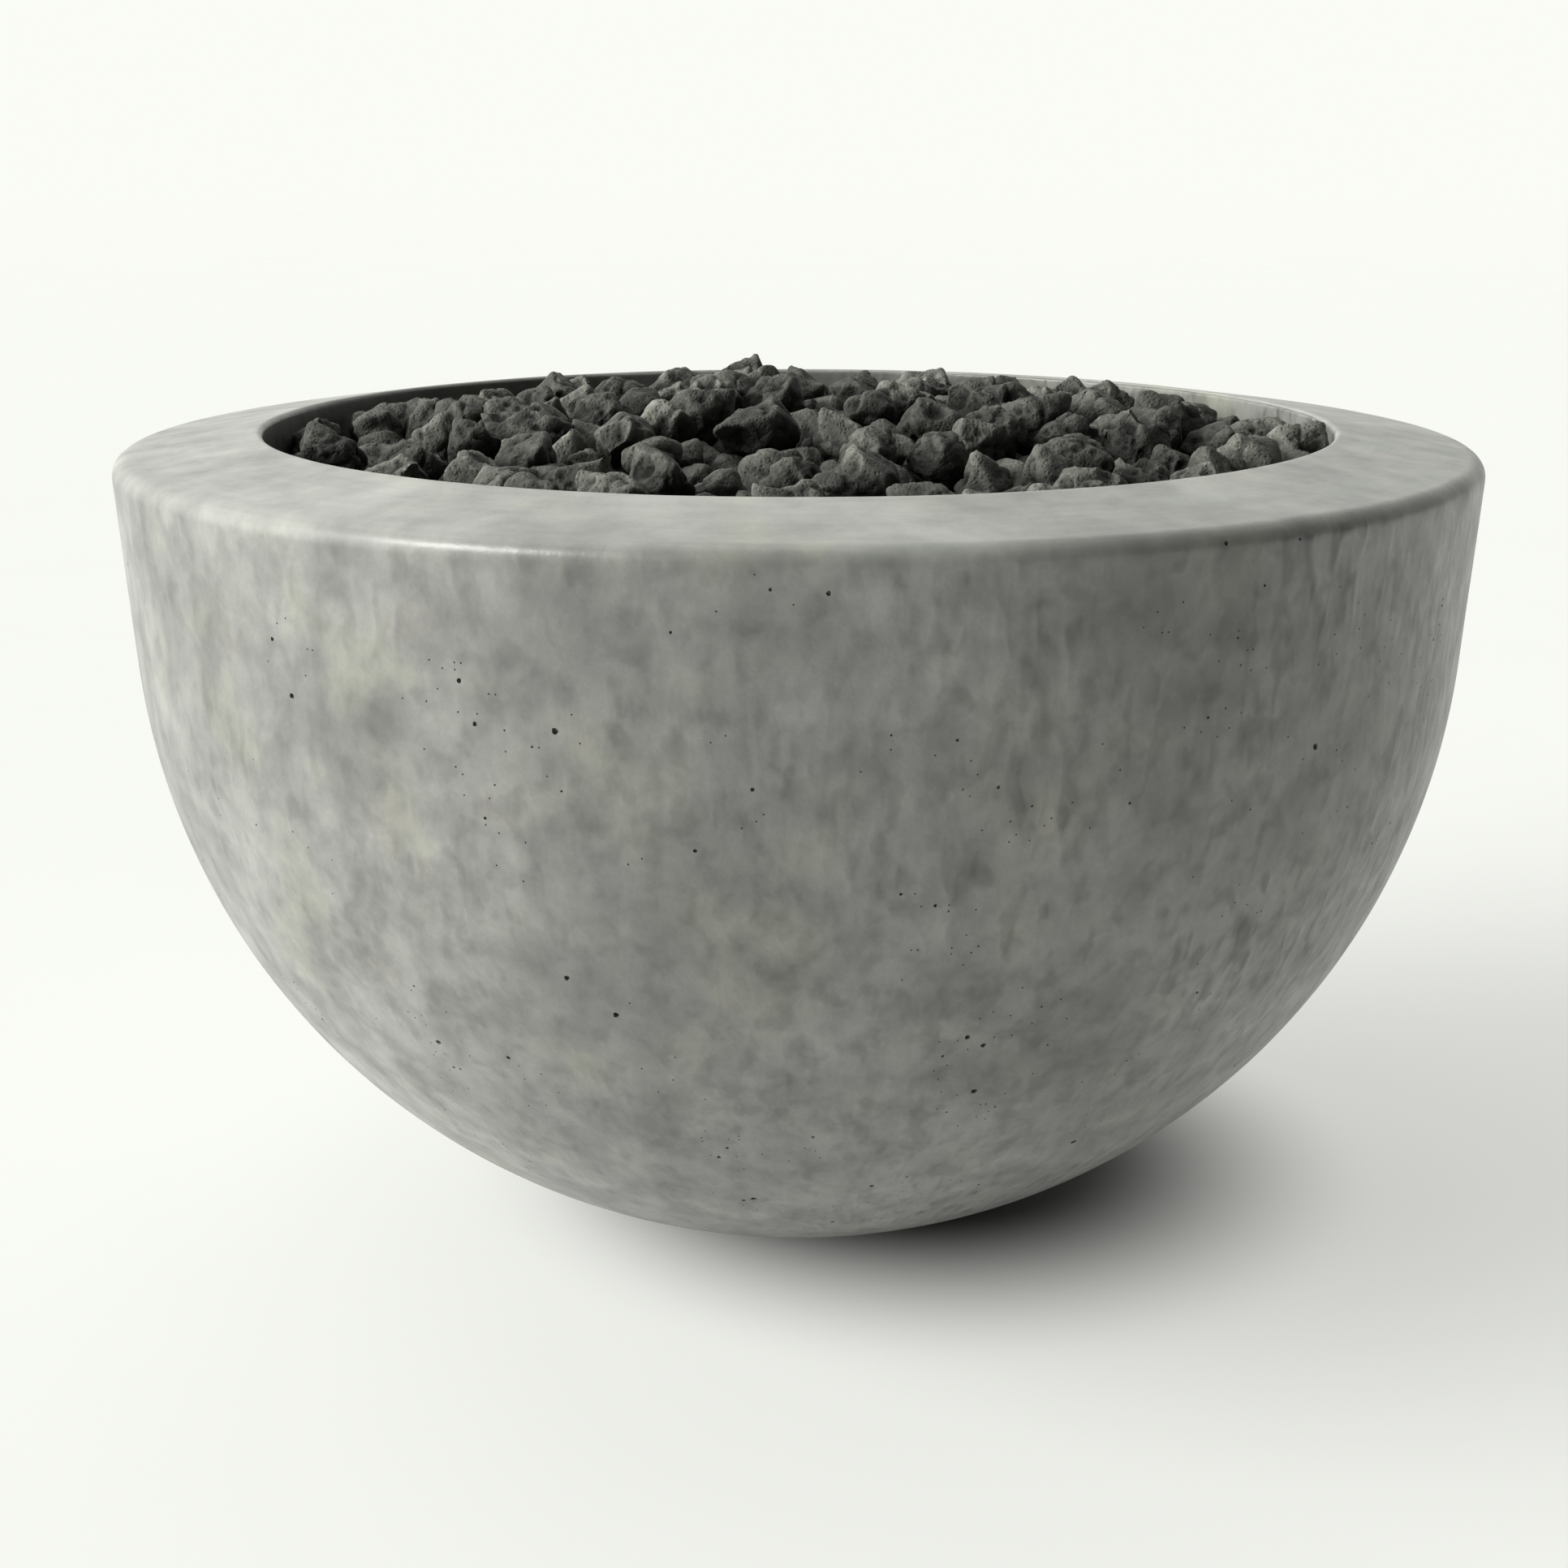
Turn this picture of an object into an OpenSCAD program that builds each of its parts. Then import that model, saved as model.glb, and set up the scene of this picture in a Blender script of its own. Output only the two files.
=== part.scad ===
// A round gas fire bowl: a cast concrete shell with a drop-in burner pan, a twin-ring burner buried in
// lava rock, and a quarter-turn key valve in the back wall that feeds it through a hose and an air mixer.
// Millimetres, +Z up. The origin is on the ground under the middle of the bowl, and the valve is at +Y.

/* [Bowl] */
// Outside diameter across the rim
bowl_d = 914; // [880:1:980]
// Height of the concrete from its foot to the inner edge of the rim
bowl_h = 544; // [510:1:580]
// Fall of the rim towards its outer edge, in degrees
rim_fall = 8; // [4:0.5:12]
// Lean of the collar under the rim, in degrees
collar_lean = 4; // [2:0.5:7]
// Diameter of the flat foot
foot_d = 265; // [240:1:300]
// Diameter of the opening inside the rim
opening_d = 720; // [690:1:740]
// Rounding of the outer edge of the rim
rim_outer_r = 12; // [6:1:20]
// Rounding of the inner edge of the rim
rim_inner_r = 4; // [2:0.5:8]
// Thickness of the belly wall below the throat
wall_t = 45; // [38:1:60]
// Thickness of the floor over the foot
floor_t = 45; // [35:1:60]
// Depth of the pan ledge below the rim
ledge_depth = 75; // [65:1:90]
// Width of the pan ledge
ledge_w = 30; // [24:1:36]
// Diameter of the gas entry hole through the floor
entry_d = 50; // [46:1:70]

/* [Foot pads] */
// Diameter of a rubber foot pad
pad_d = 36; // [24:1:50]
// Thickness of a foot pad
pad_t = 8; // [6:0.5:14]
// Height of a pad that stands out under the concrete
pad_proud = 3; // [2:0.5:5]
// Diameter of the circle that the pads lie on
pad_circle_d = 190; // [150:1:200]
// Number of foot pads
pad_count = 4; // [3:1:6]

/* [Burner pan] */
// Sheet thickness of the pan
pan_t = 1.5; // [1:0.1:2.5]
// Inside depth of the pan from the top of its flange
pan_depth = 90; // [80:1:105]
// Gap between the pan's side and the throat of the bowl
pan_gap = 6; // [3:0.5:10]
// Gap between the pan's flange and the wall of the opening
flange_gap = 4; // [2:0.5:8]
// Diameter of a weep hole
weep_d = 8; // [5:0.5:12]
// Diameter of the circle that the weep holes lie on
weep_circle_d = 560; // [500:1:600]
// Number of weep holes
weep_count = 8; // [4:1:16]

/* [Burner] */
// Outside diameter of the burner tube
tube_d = 19; // [16:0.5:24]
// Wall of the burner tube
tube_t = 1.5; // [1:0.1:2.5]
// Mean diameter of the outer burner ring
outer_ring_d = 440; // [400:1:480]
// Mean diameter of the inner burner ring
inner_ring_d = 220; // [180:1:260]
// Height of the rings above the pan's floor
burner_lift = 22; // [18:1:30]
// Diameter of a flame port
port_d = 2.6; // [1.5:0.1:4]
// Number of flame ports in the outer ring
outer_ports = 28; // [12:4:40]
// Number of flame ports in the inner ring
inner_ports = 12; // [8:4:20]
// Outside diameter of a spoke tube
spoke_d = 14; // [10:0.5:15.5]
// Diameter of the burner hub
hub_d = 52; // [46:1:64]
// Height of the burner hub
hub_h = 34; // [30:1:40]
// Depth of the spoke sockets in the hub
socket_depth = 8; // [5:0.5:10]
// Diameter of a burner foot
foot_post_d = 16; // [12:0.5:18]
// Diameter of a foot screw
foot_screw_d = 6; // [4:0.5:8]

/* [Feed and mixer] */
// Outside diameter of the feed nipple
nipple_d = 21.3; // [17:0.1:24]
// Bore of the feed nipple
nipple_bore_d = 15.8; // [12:0.1:16]
// Width across flats of the pan locknuts
locknut_af = 32; // [30:1:38]
// Height of a pan locknut
locknut_h = 8; // [6:0.5:10]
// Diameter of a pan washer
washer_d = 46; // [40:1:54]
// Thickness of a pan washer
washer_t = 2; // [1.5:0.1:3]
// Outside diameter of the air mixer
mixer_d = 34; // [32:0.5:40]
// Length of the air mixer
mixer_l = 66; // [62:1:80]
// Diameter of the mixer's bottom shoulder
shoulder_d = 42; // [40:0.5:50]
// Height of the mixer's bottom shoulder
shoulder_h = 6; // [4:0.5:8]
// Diameter of an air window
window_d = 12; // [8:0.5:15]
// Wall of the air shutter
shutter_t = 2.5; // [2:0.1:4]
// Height of the air shutter
shutter_h = 34; // [28:1:36]
// Diameter of the shutter's thumbscrew
thumbscrew_d = 4; // [3:0.5:5]
// Diameter of the gas jet in the orifice
jet_d = 2.6; // [1:0.1:4]

/* [Hose and pipe] */
// Outside diameter of the hose and of the supply pipe
line_d = 16; // [14:0.5:18]
// Bore of the hose and of the supply pipe
line_bore_d = 11; // [8:0.5:12]
// Number of ribs on the hose
hose_ribs = 56; // [20:1:90]
// Depth of a rib on the hose
rib_depth = 1.2; // [0.5:0.1:2]
// Width across flats of a line nut
line_nut_af = 24; // [22:0.5:28]
// Length of a line nut
line_nut_l = 22; // [18:0.5:28]
// Height of the pipe's level run above the ground
pipe_run_z = 150; // [148:1:160]
// Bend radius of the pipe above the entry
pipe_low_bend = 34; // [30:1:40]
// Bend radius of the pipe under the valve
pipe_high_bend = 50; // [40:1:55]
// Width across flats of the inlet fitting
inlet_af = 32; // [30:0.5:38]
// Length of the inlet fitting
inlet_l = 36; // [32:1:40]
// Bore of the inlet fitting's threaded end
inlet_bore_d = 19; // [15:0.5:21]
// Depth of the inlet fitting's threaded end
inlet_bore_l = 18; // [14:0.5:20]

/* [Key valve] */
// Height of the valve's axis above the ground
valve_z = 300; // [290:1:310]
// Distance of the valve's middle from the throat wall
valve_inset = 45; // [40:1:60]
// Diameter of the valve's barrel
barrel_d = 36; // [34:0.5:44]
// Half length of the valve's barrel
barrel_half = 18; // [17:0.5:24]
// Diameter of the valve's side bosses
boss_d = 25; // [22:0.5:30]
// Reach of the side bosses from the valve's axis
boss_reach = 34; // [30:1:40]
// Diameter of the turning plug
plug_d = 20; // [18:0.5:22]
// Diameter of a gas port in the plug
plug_port_d = 9; // [6:0.5:10]
// Diameter of the plug's stem, which holds the key socket
stem_d = 16; // [14:0.5:16.5]
// Diameter of the valve's neck
neck_d = 21; // [20:0.5:23]
// Wall of the sleeve that lines the hole through the concrete
sleeve_t = 2; // [1.5:0.1:3]
// Width across flats of the wall nut
wall_nut_af = 32; // [30:1:40]
// Height of the wall nut
wall_nut_h = 8; // [6:0.5:12]
// Diameter of the cast pocket round the key hole
pocket_d = 72; // [68:1:84]
// Depth of the pocket at its shallow lower edge
pocket_depth = 12; // [8:1:16]
// Diameter of the cover ring
cover_d = 66; // [62:1:67]
// Thickness of the cover ring
cover_t = 3; // [2:0.5:5]
// Diameter of the circle that the cover's screws lie on
cover_screw_circle = 48; // [46:1:52]
// Diameter of a cover screw
cover_screw_d = 4; // [3:0.5:5]
// Diameter of a wall plug
wall_plug_d = 7; // [6:0.5:8]
// Length of a wall plug
wall_plug_l = 26; // [20:1:35]

/* [Key] */
// Width of the key's square shank
key_square = 8; // [6:0.5:9]
// Depth of the key in its socket
key_depth = 22; // [16:1:28]
// Diameter of the key's round shaft
key_shaft_d = 10; // [9:0.5:12]
// Diameter of the key's cross handle
key_bar_d = 10; // [8:0.5:12]
// Length of the key's cross handle
key_bar_l = 56; // [40:1:60]
// Distance of the handle's middle from the front of the cover ring
key_reach = 38; // [30:1:42]

/* [Lava rock] */
// Depth of the rock bed's edge below the rim
bed_edge_depth = 65; // [57:1:70]
// Depth of the rock bed's crown below the rim
bed_crown_depth = 31; // [15:1:40]
// Spacing of the loose rocks
rock_pitch = 43; // [40:1:52]
// Mean radius of a loose rock
rock_r = 26; // [22:0.5:30]
// Share of the hollows between the lower rocks that hold an upper rock
upper_share = 0.5; // [0.2:0.05:0.7]
// Seed of the rock shapes and places
rock_seed = 17; // [1:1:99]

/* [Clearances] */
// Gap between parts that are seated, screwed or pushed into each other
seat_gap = 0.1; // [0.05:0.05:0.2]
// Running gap between round parts that turn in each other
run_gap = 0.05; // [0.03:0.01:0.1]
// Gap at the end of a part that turns, slides or screws in
end_gap = 0.3; // [0.2:0.1:0.6]
// Gap between loose rocks, and between rocks and what they lie on
rock_gap = 0.5; // [0.3:0.1:0.8]
// Gap at a welded joint between burner tubes
weld_gap = 0.2; // [0.1:0.05:0.3]

/* [Hidden] */
$fn = 96;

concrete = "#a9aca8";
steel = "#b9bcbe";
brass = "#c9a65a";
rubber = "#202022";
lava = "#2b2a2b";
nylon = "#8d8f92";

// Overlap of a cutting shape past the face that it cuts
cut = 1;

// Bowl
rim_r = bowl_d / 2;
rim_z = pad_proud + bowl_h;
// Angle of the first foot pad
pad_angle = 45;
foot_r = foot_d / 2;
opening_r = opening_d / 2;
// The rim is a line that touches the rounds of its inner and outer edges.
edge_centre = [opening_r + rim_inner_r, rim_z - rim_inner_r];
rim_normal = [sin(rim_fall), cos(rim_fall)];
rim_level = edge_centre * rim_normal + rim_inner_r;
lip_x = rim_r - rim_outer_r;
lip_centre = [lip_x, (rim_level - rim_outer_r - lip_x * rim_normal.x) / rim_normal.y];
// The collar is a line that touches both the round of the rim and the sphere of the belly.
lip_height = lip_centre.y - pad_proud;
collar_reach = lip_centre.x * cos(collar_lean) - lip_height * sin(collar_lean) + rim_outer_r;
belly_rise = (collar_reach * sin(collar_lean) + sqrt(collar_reach ^ 2 - (foot_r * cos(collar_lean)) ^ 2))
  / cos(collar_lean) ^ 2;
belly_r = norm([belly_rise, foot_r]);
belly_z = pad_proud + belly_rise;
collar_normal = [cos(collar_lean), -sin(collar_lean)];
collar_foot = [0, belly_z] + belly_r * collar_normal;
collar_top = lip_centre + rim_outer_r * collar_normal;
cavity_r = belly_r - wall_t;
floor_z = pad_proud + floor_t;
ledge_z = rim_z - ledge_depth;
throat_r = opening_r - ledge_w;

// Pan and burner
flange_r = opening_r - flange_gap;
pan_r = throat_r - pan_gap;
flange_top = ledge_z + pan_t;
pan_floor = flange_top - pan_depth;
pan_under = pan_floor - pan_t;
tube_r = tube_d / 2;
tube_bore_r = tube_r - tube_t;
outer_ring_r = outer_ring_d / 2;
inner_ring_r = inner_ring_d / 2;
burner_z = pan_floor + burner_lift + tube_r;
spoke_r = spoke_d / 2;
spoke_bore_r = spoke_r - tube_t;
hub_r = hub_d / 2;
hub_bottom = burner_z - hub_h / 2;
spoke_count = 4;
spoke_step = 360 / spoke_count;
foot_angle = spoke_step / 2;
// Depth of the cradle in the top of a burner foot
cradle_depth = 4;
foot_top = pan_floor + burner_lift + cradle_depth;
foot_screw_l = burner_lift / 2 + pan_t;
// Width and height of a round screw head, as shares of the screw's diameter
round_head = [1.8, 0.6];
foot_screw_head_d = foot_screw_d * round_head[0];
foot_screw_head_h = foot_screw_d * round_head[1];

// Feed and mixer
nipple_r = nipple_d / 2;
washer_top = pan_floor + washer_t;
washer_under = pan_under - washer_t;
// Length of the nipple inside the hub, and inside the mixer
nipple_grip = 14;
// Gap between the lower locknut and the mixer
mixer_drop = 1;
mixer_top = washer_under - locknut_h - mixer_drop;
mixer_bottom = mixer_top - mixer_l;
nipple_bottom = mixer_top - nipple_grip;
nipple_top = hub_bottom + nipple_grip;
mixer_r = mixer_d / 2;
shutter_z = mixer_bottom + shoulder_h + end_gap;
shutter_r = mixer_r + run_gap + shutter_t;
window_z = shutter_z + shutter_h / 2;
// Diameter and length of the orifice's end in the mixer
spud_d = 12.6;
spud_l = 12;
orifice_hex_h = 8;
orifice_bottom = mixer_bottom - orifice_hex_h;
// Wall of the thumbscrew's boss, and how far the boss stands out of the shutter
thumb_boss_wall = 2.5;
thumb_boss_h = 4;
thumb_boss_d = thumbscrew_d + 2 * thumb_boss_wall;
thumb_boss_r = shutter_r + thumb_boss_h;
// Width of the thumbscrew's head, as a share of the screw's diameter, and its length
thumb_head_share = 2.2;
thumb_head_d = thumbscrew_d * thumb_head_share;
thumb_head_l = 6;

// Lines
line_r = line_d / 2;
line_bore_r = line_bore_d / 2;
// Length of a line's end, and of the nose that it meets, inside a line nut
nose_l = 14;
grip_l = line_nut_l / 2;
orifice_nose = orifice_bottom - nose_l;
valve_y = throat_r - valve_inset;
outlet_nose = -boss_reach - nose_l;
inlet_nose = valve_z - boss_reach - nose_l;
// The hose leaves the mixer downwards and reaches the valve from the side, with straight ends and one
// smooth curve between them. The drop and the swing are the pulls of its two ends on that curve.
hose_drop = 200;
hose_swing = 240;
hose_sides = 8;
hose_from = [0, 0, orifice_nose];
hose_to = [outlet_nose, valve_y, valve_z];
hose_start = hose_from - [0, 0, line_d];
hose_finish = hose_to - [line_d, 0, 0];
hose_points = [hose_start, hose_start - [0, 0, hose_drop], hose_finish - [hose_swing, 0, 0], hose_finish];
// The pipe runs from the inlet fitting up, back and up again to the valve.
pipe_foot = pipe_run_z - pipe_low_bend - nose_l;
inlet_bottom = pipe_foot + nose_l - inlet_l;

// Valve
barrel_r = barrel_d / 2;
boss_r = boss_d / 2;
plug_r = plug_d / 2;
plug_port_r = plug_port_d / 2;
stem_r = stem_d / 2;
neck_r = neck_d / 2;
sleeve_r = neck_r + seat_gap + sleeve_t;
cap_t = 6;
cap_flange_t = 4;
// Width of the cap's seat round the plug's bore
cap_seat = 3;
cap_r = plug_r + cap_seat;
plug_inner = valve_y - barrel_half + cap_t + end_gap;
// Length of the plug past its ports, up to the shoulder that keeps it in
plug_shoulder = 6;
plug_outer = valve_y + plug_port_r + plug_shoulder;
pocket_r = pocket_d / 2;
pocket_foot_z = valve_z - pocket_r;
pocket_y = sqrt(belly_r ^ 2 - (belly_z - pocket_foot_z) ^ 2) - pocket_depth;
cover_front = pocket_y + cover_t;
// The neck reaches into the wall by the height of its nut, twice over
neck_end = throat_r + 2 * wall_nut_h;
// Room round the wall nut in the spot face that seats it
nut_room = 2;
spot_face_r = wall_nut_af / 2 / cos(30) + nut_room;
stem_end = pocket_y - end_gap;
seal_r = 0.9;
seal_groove_r = stem_r - 2 * seal_r;
seal_mean_r = stem_r - seal_r + run_gap / 2;
// Distance between the stem's seals, and of the first from the barrel's end
seal_step = 6;
seal_ys = [for (i = [1:2]) valve_y + barrel_half + i * seal_step];
seal_groove_w = 2 * seal_r + end_gap;
// Gap round the stem in the cover ring's hole
cover_hole_gap = 1.5;
cover_hole_r = stem_r + cover_hole_gap;
cover_screw_count = 3;
cover_screw_l = 22;
// Width and height of a flat screw head, as shares of the screw's diameter
flat_head = [2, 0.55];
cover_screw_head_d = cover_screw_d * flat_head[0];
cover_screw_head_h = cover_screw_d * flat_head[1];
key_gap = 0.15;
key_bar_y = cover_front + key_reach;
key_tip = stem_end - key_depth;
// Rim and thickness of the collar that stops the key on the stem
key_stop_rim = 2.5;
key_stop_t = 3;
key_stop_d = key_shaft_d + 2 * key_stop_rim;

// Lava rock
bed_r = flange_r - rock_gap;
bed_edge = rim_z - bed_edge_depth;
bed_rise = bed_edge_depth - bed_crown_depth;
dome_r = (bed_r ^ 2 + bed_rise ^ 2) / (2 * bed_rise);
dome_z = bed_edge + bed_rise - dome_r;
// Gap between the rock bed and the burner
burner_clear = 1.5;
// Height of the way through the bed for a spoke
spoke_trench = burner_z + spoke_r + burner_clear - pan_floor;
// Gap between the loose rocks and the wall of the opening
rock_wall_gap = 2;
// Least and most size of a rock, and of its reach in one direction, as shares of the mean radius
rock_sizes = [0.85, 1.2];
rock_reaches = [0.78, 1.08];
// Extra reach of a rock along its long way
rock_stretch = 0.35;
// Least distance of a rock's middle from the wall of the opening
rock_margin = 16;
// Height of a lower rock's middle above the bed, least and most
seat_low = 12;
seat_high = 19;
// Height of an upper rock's middle above the bed, least and most
perch_low = 27;
perch_high = 37;
rock_jitter = 8;
rock_row = rock_pitch * sqrt(3) / 2;
rock_rows = ceil(opening_r / rock_row);
rock_cols = ceil(opening_r / rock_pitch) + 1;
rock_cells = (2 * rock_rows + 1) * (2 * rock_cols + 1);
rock_points = 13;
golden_turn = 180 * (3 - sqrt(5));

// Helpers

module along_x() {
  rotate([0, 90, 0]) children();
}

module along_y() {
  rotate([-90, 0, 0]) children();
}

// A regular hexagonal prism on its base, with the given width across flats
module hex(af, h) {
  cylinder(d = af / cos(30), h = h, $fn = 6);
}

// Copies of a shape on a circle round Z
module ring_of(count, r, first = 0) {
  for (i = [0:count - 1]) {
    rotate(first + i * 360 / count) translate([r, 0, 0]) children();
  }
}

// Copies of a shape on a circle round the valve's axis, each pointing along +Y
module cover_ring_of(count, r) {
  for (i = [0:count - 1]) {
    translate([0, 0, valve_z]) rotate([0, 90 + i * 360 / count, 0]) translate([r, 0, 0]) along_y()
      children();
  }
}

// Bowl

module bowl_outline() {
  intersection() {
    translate([0, belly_z]) circle(belly_r);
    translate([0, pad_proud]) square([rim_r, collar_foot.y - pad_proud]);
  }
  polygon([
    [0, collar_foot.y], collar_foot, collar_top, lip_centre, lip_centre + rim_outer_r * rim_normal,
    edge_centre + rim_inner_r * rim_normal, [edge_centre.x, rim_z], [0, rim_z]
  ]);
  translate(lip_centre) circle(rim_outer_r);
}

module bowl_hollow() {
  translate([0, ledge_z]) square([opening_r, ledge_depth + cut]);
  intersection() {
    translate([0, belly_z]) circle(cavity_r);
    translate([0, floor_z]) square([throat_r, ledge_z - floor_z + cut]);
  }
  square([entry_d / 2, floor_z + cut]);
  difference() {
    translate([opening_r - cut, rim_z - rim_inner_r]) square([rim_inner_r + cut, rim_inner_r + cut]);
    translate(edge_centre) circle(rim_inner_r);
  }
}

module bowl_shell() {
  color(concrete) difference() {
    rotate_extrude() difference() {
      bowl_outline();
      bowl_hollow();
    }
    ring_of(pad_count, pad_circle_d / 2, pad_angle) cylinder(d = pad_d + 2 * seat_gap, h = pad_t);
    translate([0, pocket_y, valve_z]) along_y() cylinder(r = pocket_r, h = rim_r);
    translate([0, throat_r / 2, valve_z]) along_y() cylinder(r = sleeve_r + seat_gap, h = rim_r);
    translate([0, throat_r - wall_nut_af, valve_z]) along_y()
      cylinder(r = spot_face_r, h = wall_nut_af);
    translate([0, pocket_y - wall_plug_l, 0]) {
      cover_ring_of(cover_screw_count, cover_screw_circle / 2)
        cylinder(d = wall_plug_d + 2 * seat_gap, h = wall_plug_l + cut);
    }
  }
}

module foot_pads() {
  color(rubber) ring_of(pad_count, pad_circle_d / 2, pad_angle) cylinder(d = pad_d, h = pad_t);
}

// Pan and burner

module burner_pan() {
  color(steel) difference() {
    rotate_extrude() difference() {
      union() {
        translate([0, ledge_z]) square([flange_r, pan_t]);
        translate([0, pan_under]) square([pan_r, ledge_z - pan_under + pan_t]);
      }
      translate([0, pan_floor]) square([pan_r - pan_t, pan_depth + cut]);
    }
    translate([0, 0, pan_under - cut]) {
      cylinder(r = nipple_r + seat_gap, h = pan_t + 2 * cut);
      ring_of(weep_count, weep_circle_d / 2, 180 / weep_count)
        cylinder(d = weep_d, h = pan_t + 2 * cut);
      ring_of(spoke_count, outer_ring_r, foot_angle)
        cylinder(d = foot_screw_d + 2 * seat_gap, h = pan_t + 2 * cut);
    }
  }
}

// A burner tube bent into a ring, with flame ports on top; the tube's ends meet between two ports
module tube_ring(ring_r, ports) {
  difference() {
    translate([0, 0, burner_z]) rotate(360 / ports) rotate_extrude() translate([ring_r, 0]) difference() {
      circle(tube_r);
      circle(tube_bore_r);
    }
    // Each port is turned so that the seam of its wall lies off the crest of the tube.
    translate([0, 0, burner_z]) ring_of(ports, ring_r, 180 / ports) rotate(45)
      cylinder(d = port_d, h = tube_d);
    children();
  }
}

// The space that a ring's tube takes up, with the gap of a weld round it
module tube_space(ring_r) {
  translate([0, 0, burner_z]) rotate_extrude() translate([ring_r, 0]) circle(tube_r + weld_gap);
}

// Holes through a ring's wall where the spokes feed it, between two distances from the middle
module spoke_holes(from, to) {
  translate([0, 0, burner_z]) ring_of(spoke_count, from) along_x()
    cylinder(r = spoke_bore_r, h = to - from);
}

// Spoke tubes between two distances from the middle
module spoke_tubes(from, to) {
  translate([0, 0, burner_z]) ring_of(spoke_count, from) along_x() difference() {
    cylinder(r = spoke_r, h = to - from);
    translate([0, 0, -cut]) cylinder(r = spoke_bore_r, h = to - from + 2 * cut);
  }
}

module burner_outer_ring() {
  color(steel) tube_ring(outer_ring_r, outer_ports) spoke_holes(outer_ring_r - tube_d, outer_ring_r);
}

module burner_inner_ring() {
  color(steel) tube_ring(inner_ring_r, inner_ports)
    spoke_holes(inner_ring_r - tube_d, inner_ring_r + tube_d);
}

module burner_outer_spokes() {
  color(steel) difference() {
    spoke_tubes(inner_ring_r, outer_ring_r);
    tube_space(inner_ring_r);
    tube_space(outer_ring_r);
  }
}

module burner_inner_spokes() {
  color(steel) difference() {
    spoke_tubes(hub_r - socket_depth + seat_gap, inner_ring_r);
    tube_space(inner_ring_r);
  }
}

module burner_hub() {
  color(steel) difference() {
    translate([0, 0, hub_bottom]) cylinder(r = hub_r, h = hub_h);
    translate([0, 0, hub_bottom - cut]) cylinder(r = nipple_r + seat_gap, h = nipple_grip + cut);
    translate([0, 0, hub_bottom]) cylinder(d = nipple_bore_d, h = hub_h / 2 + spoke_r);
    spoke_holes(0, hub_r);
    translate([0, 0, burner_z]) ring_of(spoke_count, hub_r - socket_depth) along_x()
      cylinder(r = spoke_r + seat_gap, h = socket_depth + cut);
  }
}

module burner_feet() {
  color(steel) difference() {
    ring_of(spoke_count, outer_ring_r, foot_angle) translate([0, 0, pan_floor]) difference() {
      cylinder(d = foot_post_d, h = foot_top - pan_floor);
      translate([0, 0, -cut]) cylinder(d = foot_screw_d + 2 * seat_gap, h = burner_lift / 2 + 2 * cut);
    }
    tube_space(outer_ring_r);
  }
}

module foot_screws() {
  color(steel) ring_of(spoke_count, outer_ring_r, foot_angle) translate([0, 0, pan_under]) {
    cylinder(d = foot_screw_d, h = foot_screw_l);
    translate([0, 0, -foot_screw_head_h]) cylinder(d = foot_screw_head_d, h = foot_screw_head_h);
  }
}

// Feed and mixer

module feed_nipple() {
  color(steel) translate([0, 0, nipple_bottom]) difference() {
    cylinder(r = nipple_r, h = nipple_top - nipple_bottom);
    translate([0, 0, -cut]) cylinder(d = nipple_bore_d, h = nipple_top - nipple_bottom + 2 * cut);
  }
}

module pan_washers() {
  color(steel) for (z = [pan_floor, washer_under]) {
    translate([0, 0, z]) difference() {
      cylinder(d = washer_d, h = washer_t);
      translate([0, 0, -cut]) cylinder(r = nipple_r + seat_gap, h = washer_t + 2 * cut);
    }
  }
}

module pan_locknuts() {
  color(steel) for (z = [washer_top, washer_under - locknut_h]) {
    translate([0, 0, z]) difference() {
      hex(locknut_af, locknut_h);
      translate([0, 0, -cut]) cylinder(r = nipple_r + seat_gap, h = locknut_h + 2 * cut);
    }
  }
}

module air_mixer() {
  color(brass) difference() {
    translate([0, 0, mixer_bottom]) union() {
      cylinder(r = mixer_r, h = mixer_l);
      cylinder(d = shoulder_d, h = shoulder_h);
    }
    translate([0, 0, nipple_bottom]) cylinder(r = nipple_r + seat_gap, h = nipple_grip + cut);
    translate([0, 0, mixer_bottom + spud_l])
      cylinder(d = nipple_bore_d, h = mixer_l - spud_l - nipple_grip + cut);
    translate([0, 0, mixer_bottom - cut]) cylinder(d = spud_d + 2 * seat_gap, h = spud_l + 2 * cut);
    translate([-mixer_d, 0, window_z]) along_x() cylinder(d = window_d, h = 2 * mixer_d);
  }
}

module air_shutter() {
  color(steel) difference() {
    union() {
      translate([0, 0, shutter_z]) cylinder(r = shutter_r, h = shutter_h);
      translate([0, mixer_r, window_z]) along_y() cylinder(d = thumb_boss_d, h = thumb_boss_r - mixer_r);
    }
    translate([0, 0, shutter_z - cut]) cylinder(r = mixer_r + run_gap, h = shutter_h + 2 * cut);
    translate([-mixer_d, 0, window_z]) along_x() cylinder(d = window_d, h = 2 * mixer_d);
    translate([0, 0, window_z]) along_y() cylinder(d = thumbscrew_d + 2 * seat_gap, h = mixer_d);
  }
}

module shutter_screw() {
  color(brass) translate([0, 0, window_z]) along_y() {
    translate([0, 0, mixer_r + end_gap])
      cylinder(d = thumbscrew_d, h = thumb_boss_r - mixer_r - end_gap);
    translate([0, 0, thumb_boss_r]) cylinder(d = thumb_head_d, h = thumb_head_l);
  }
}

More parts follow.
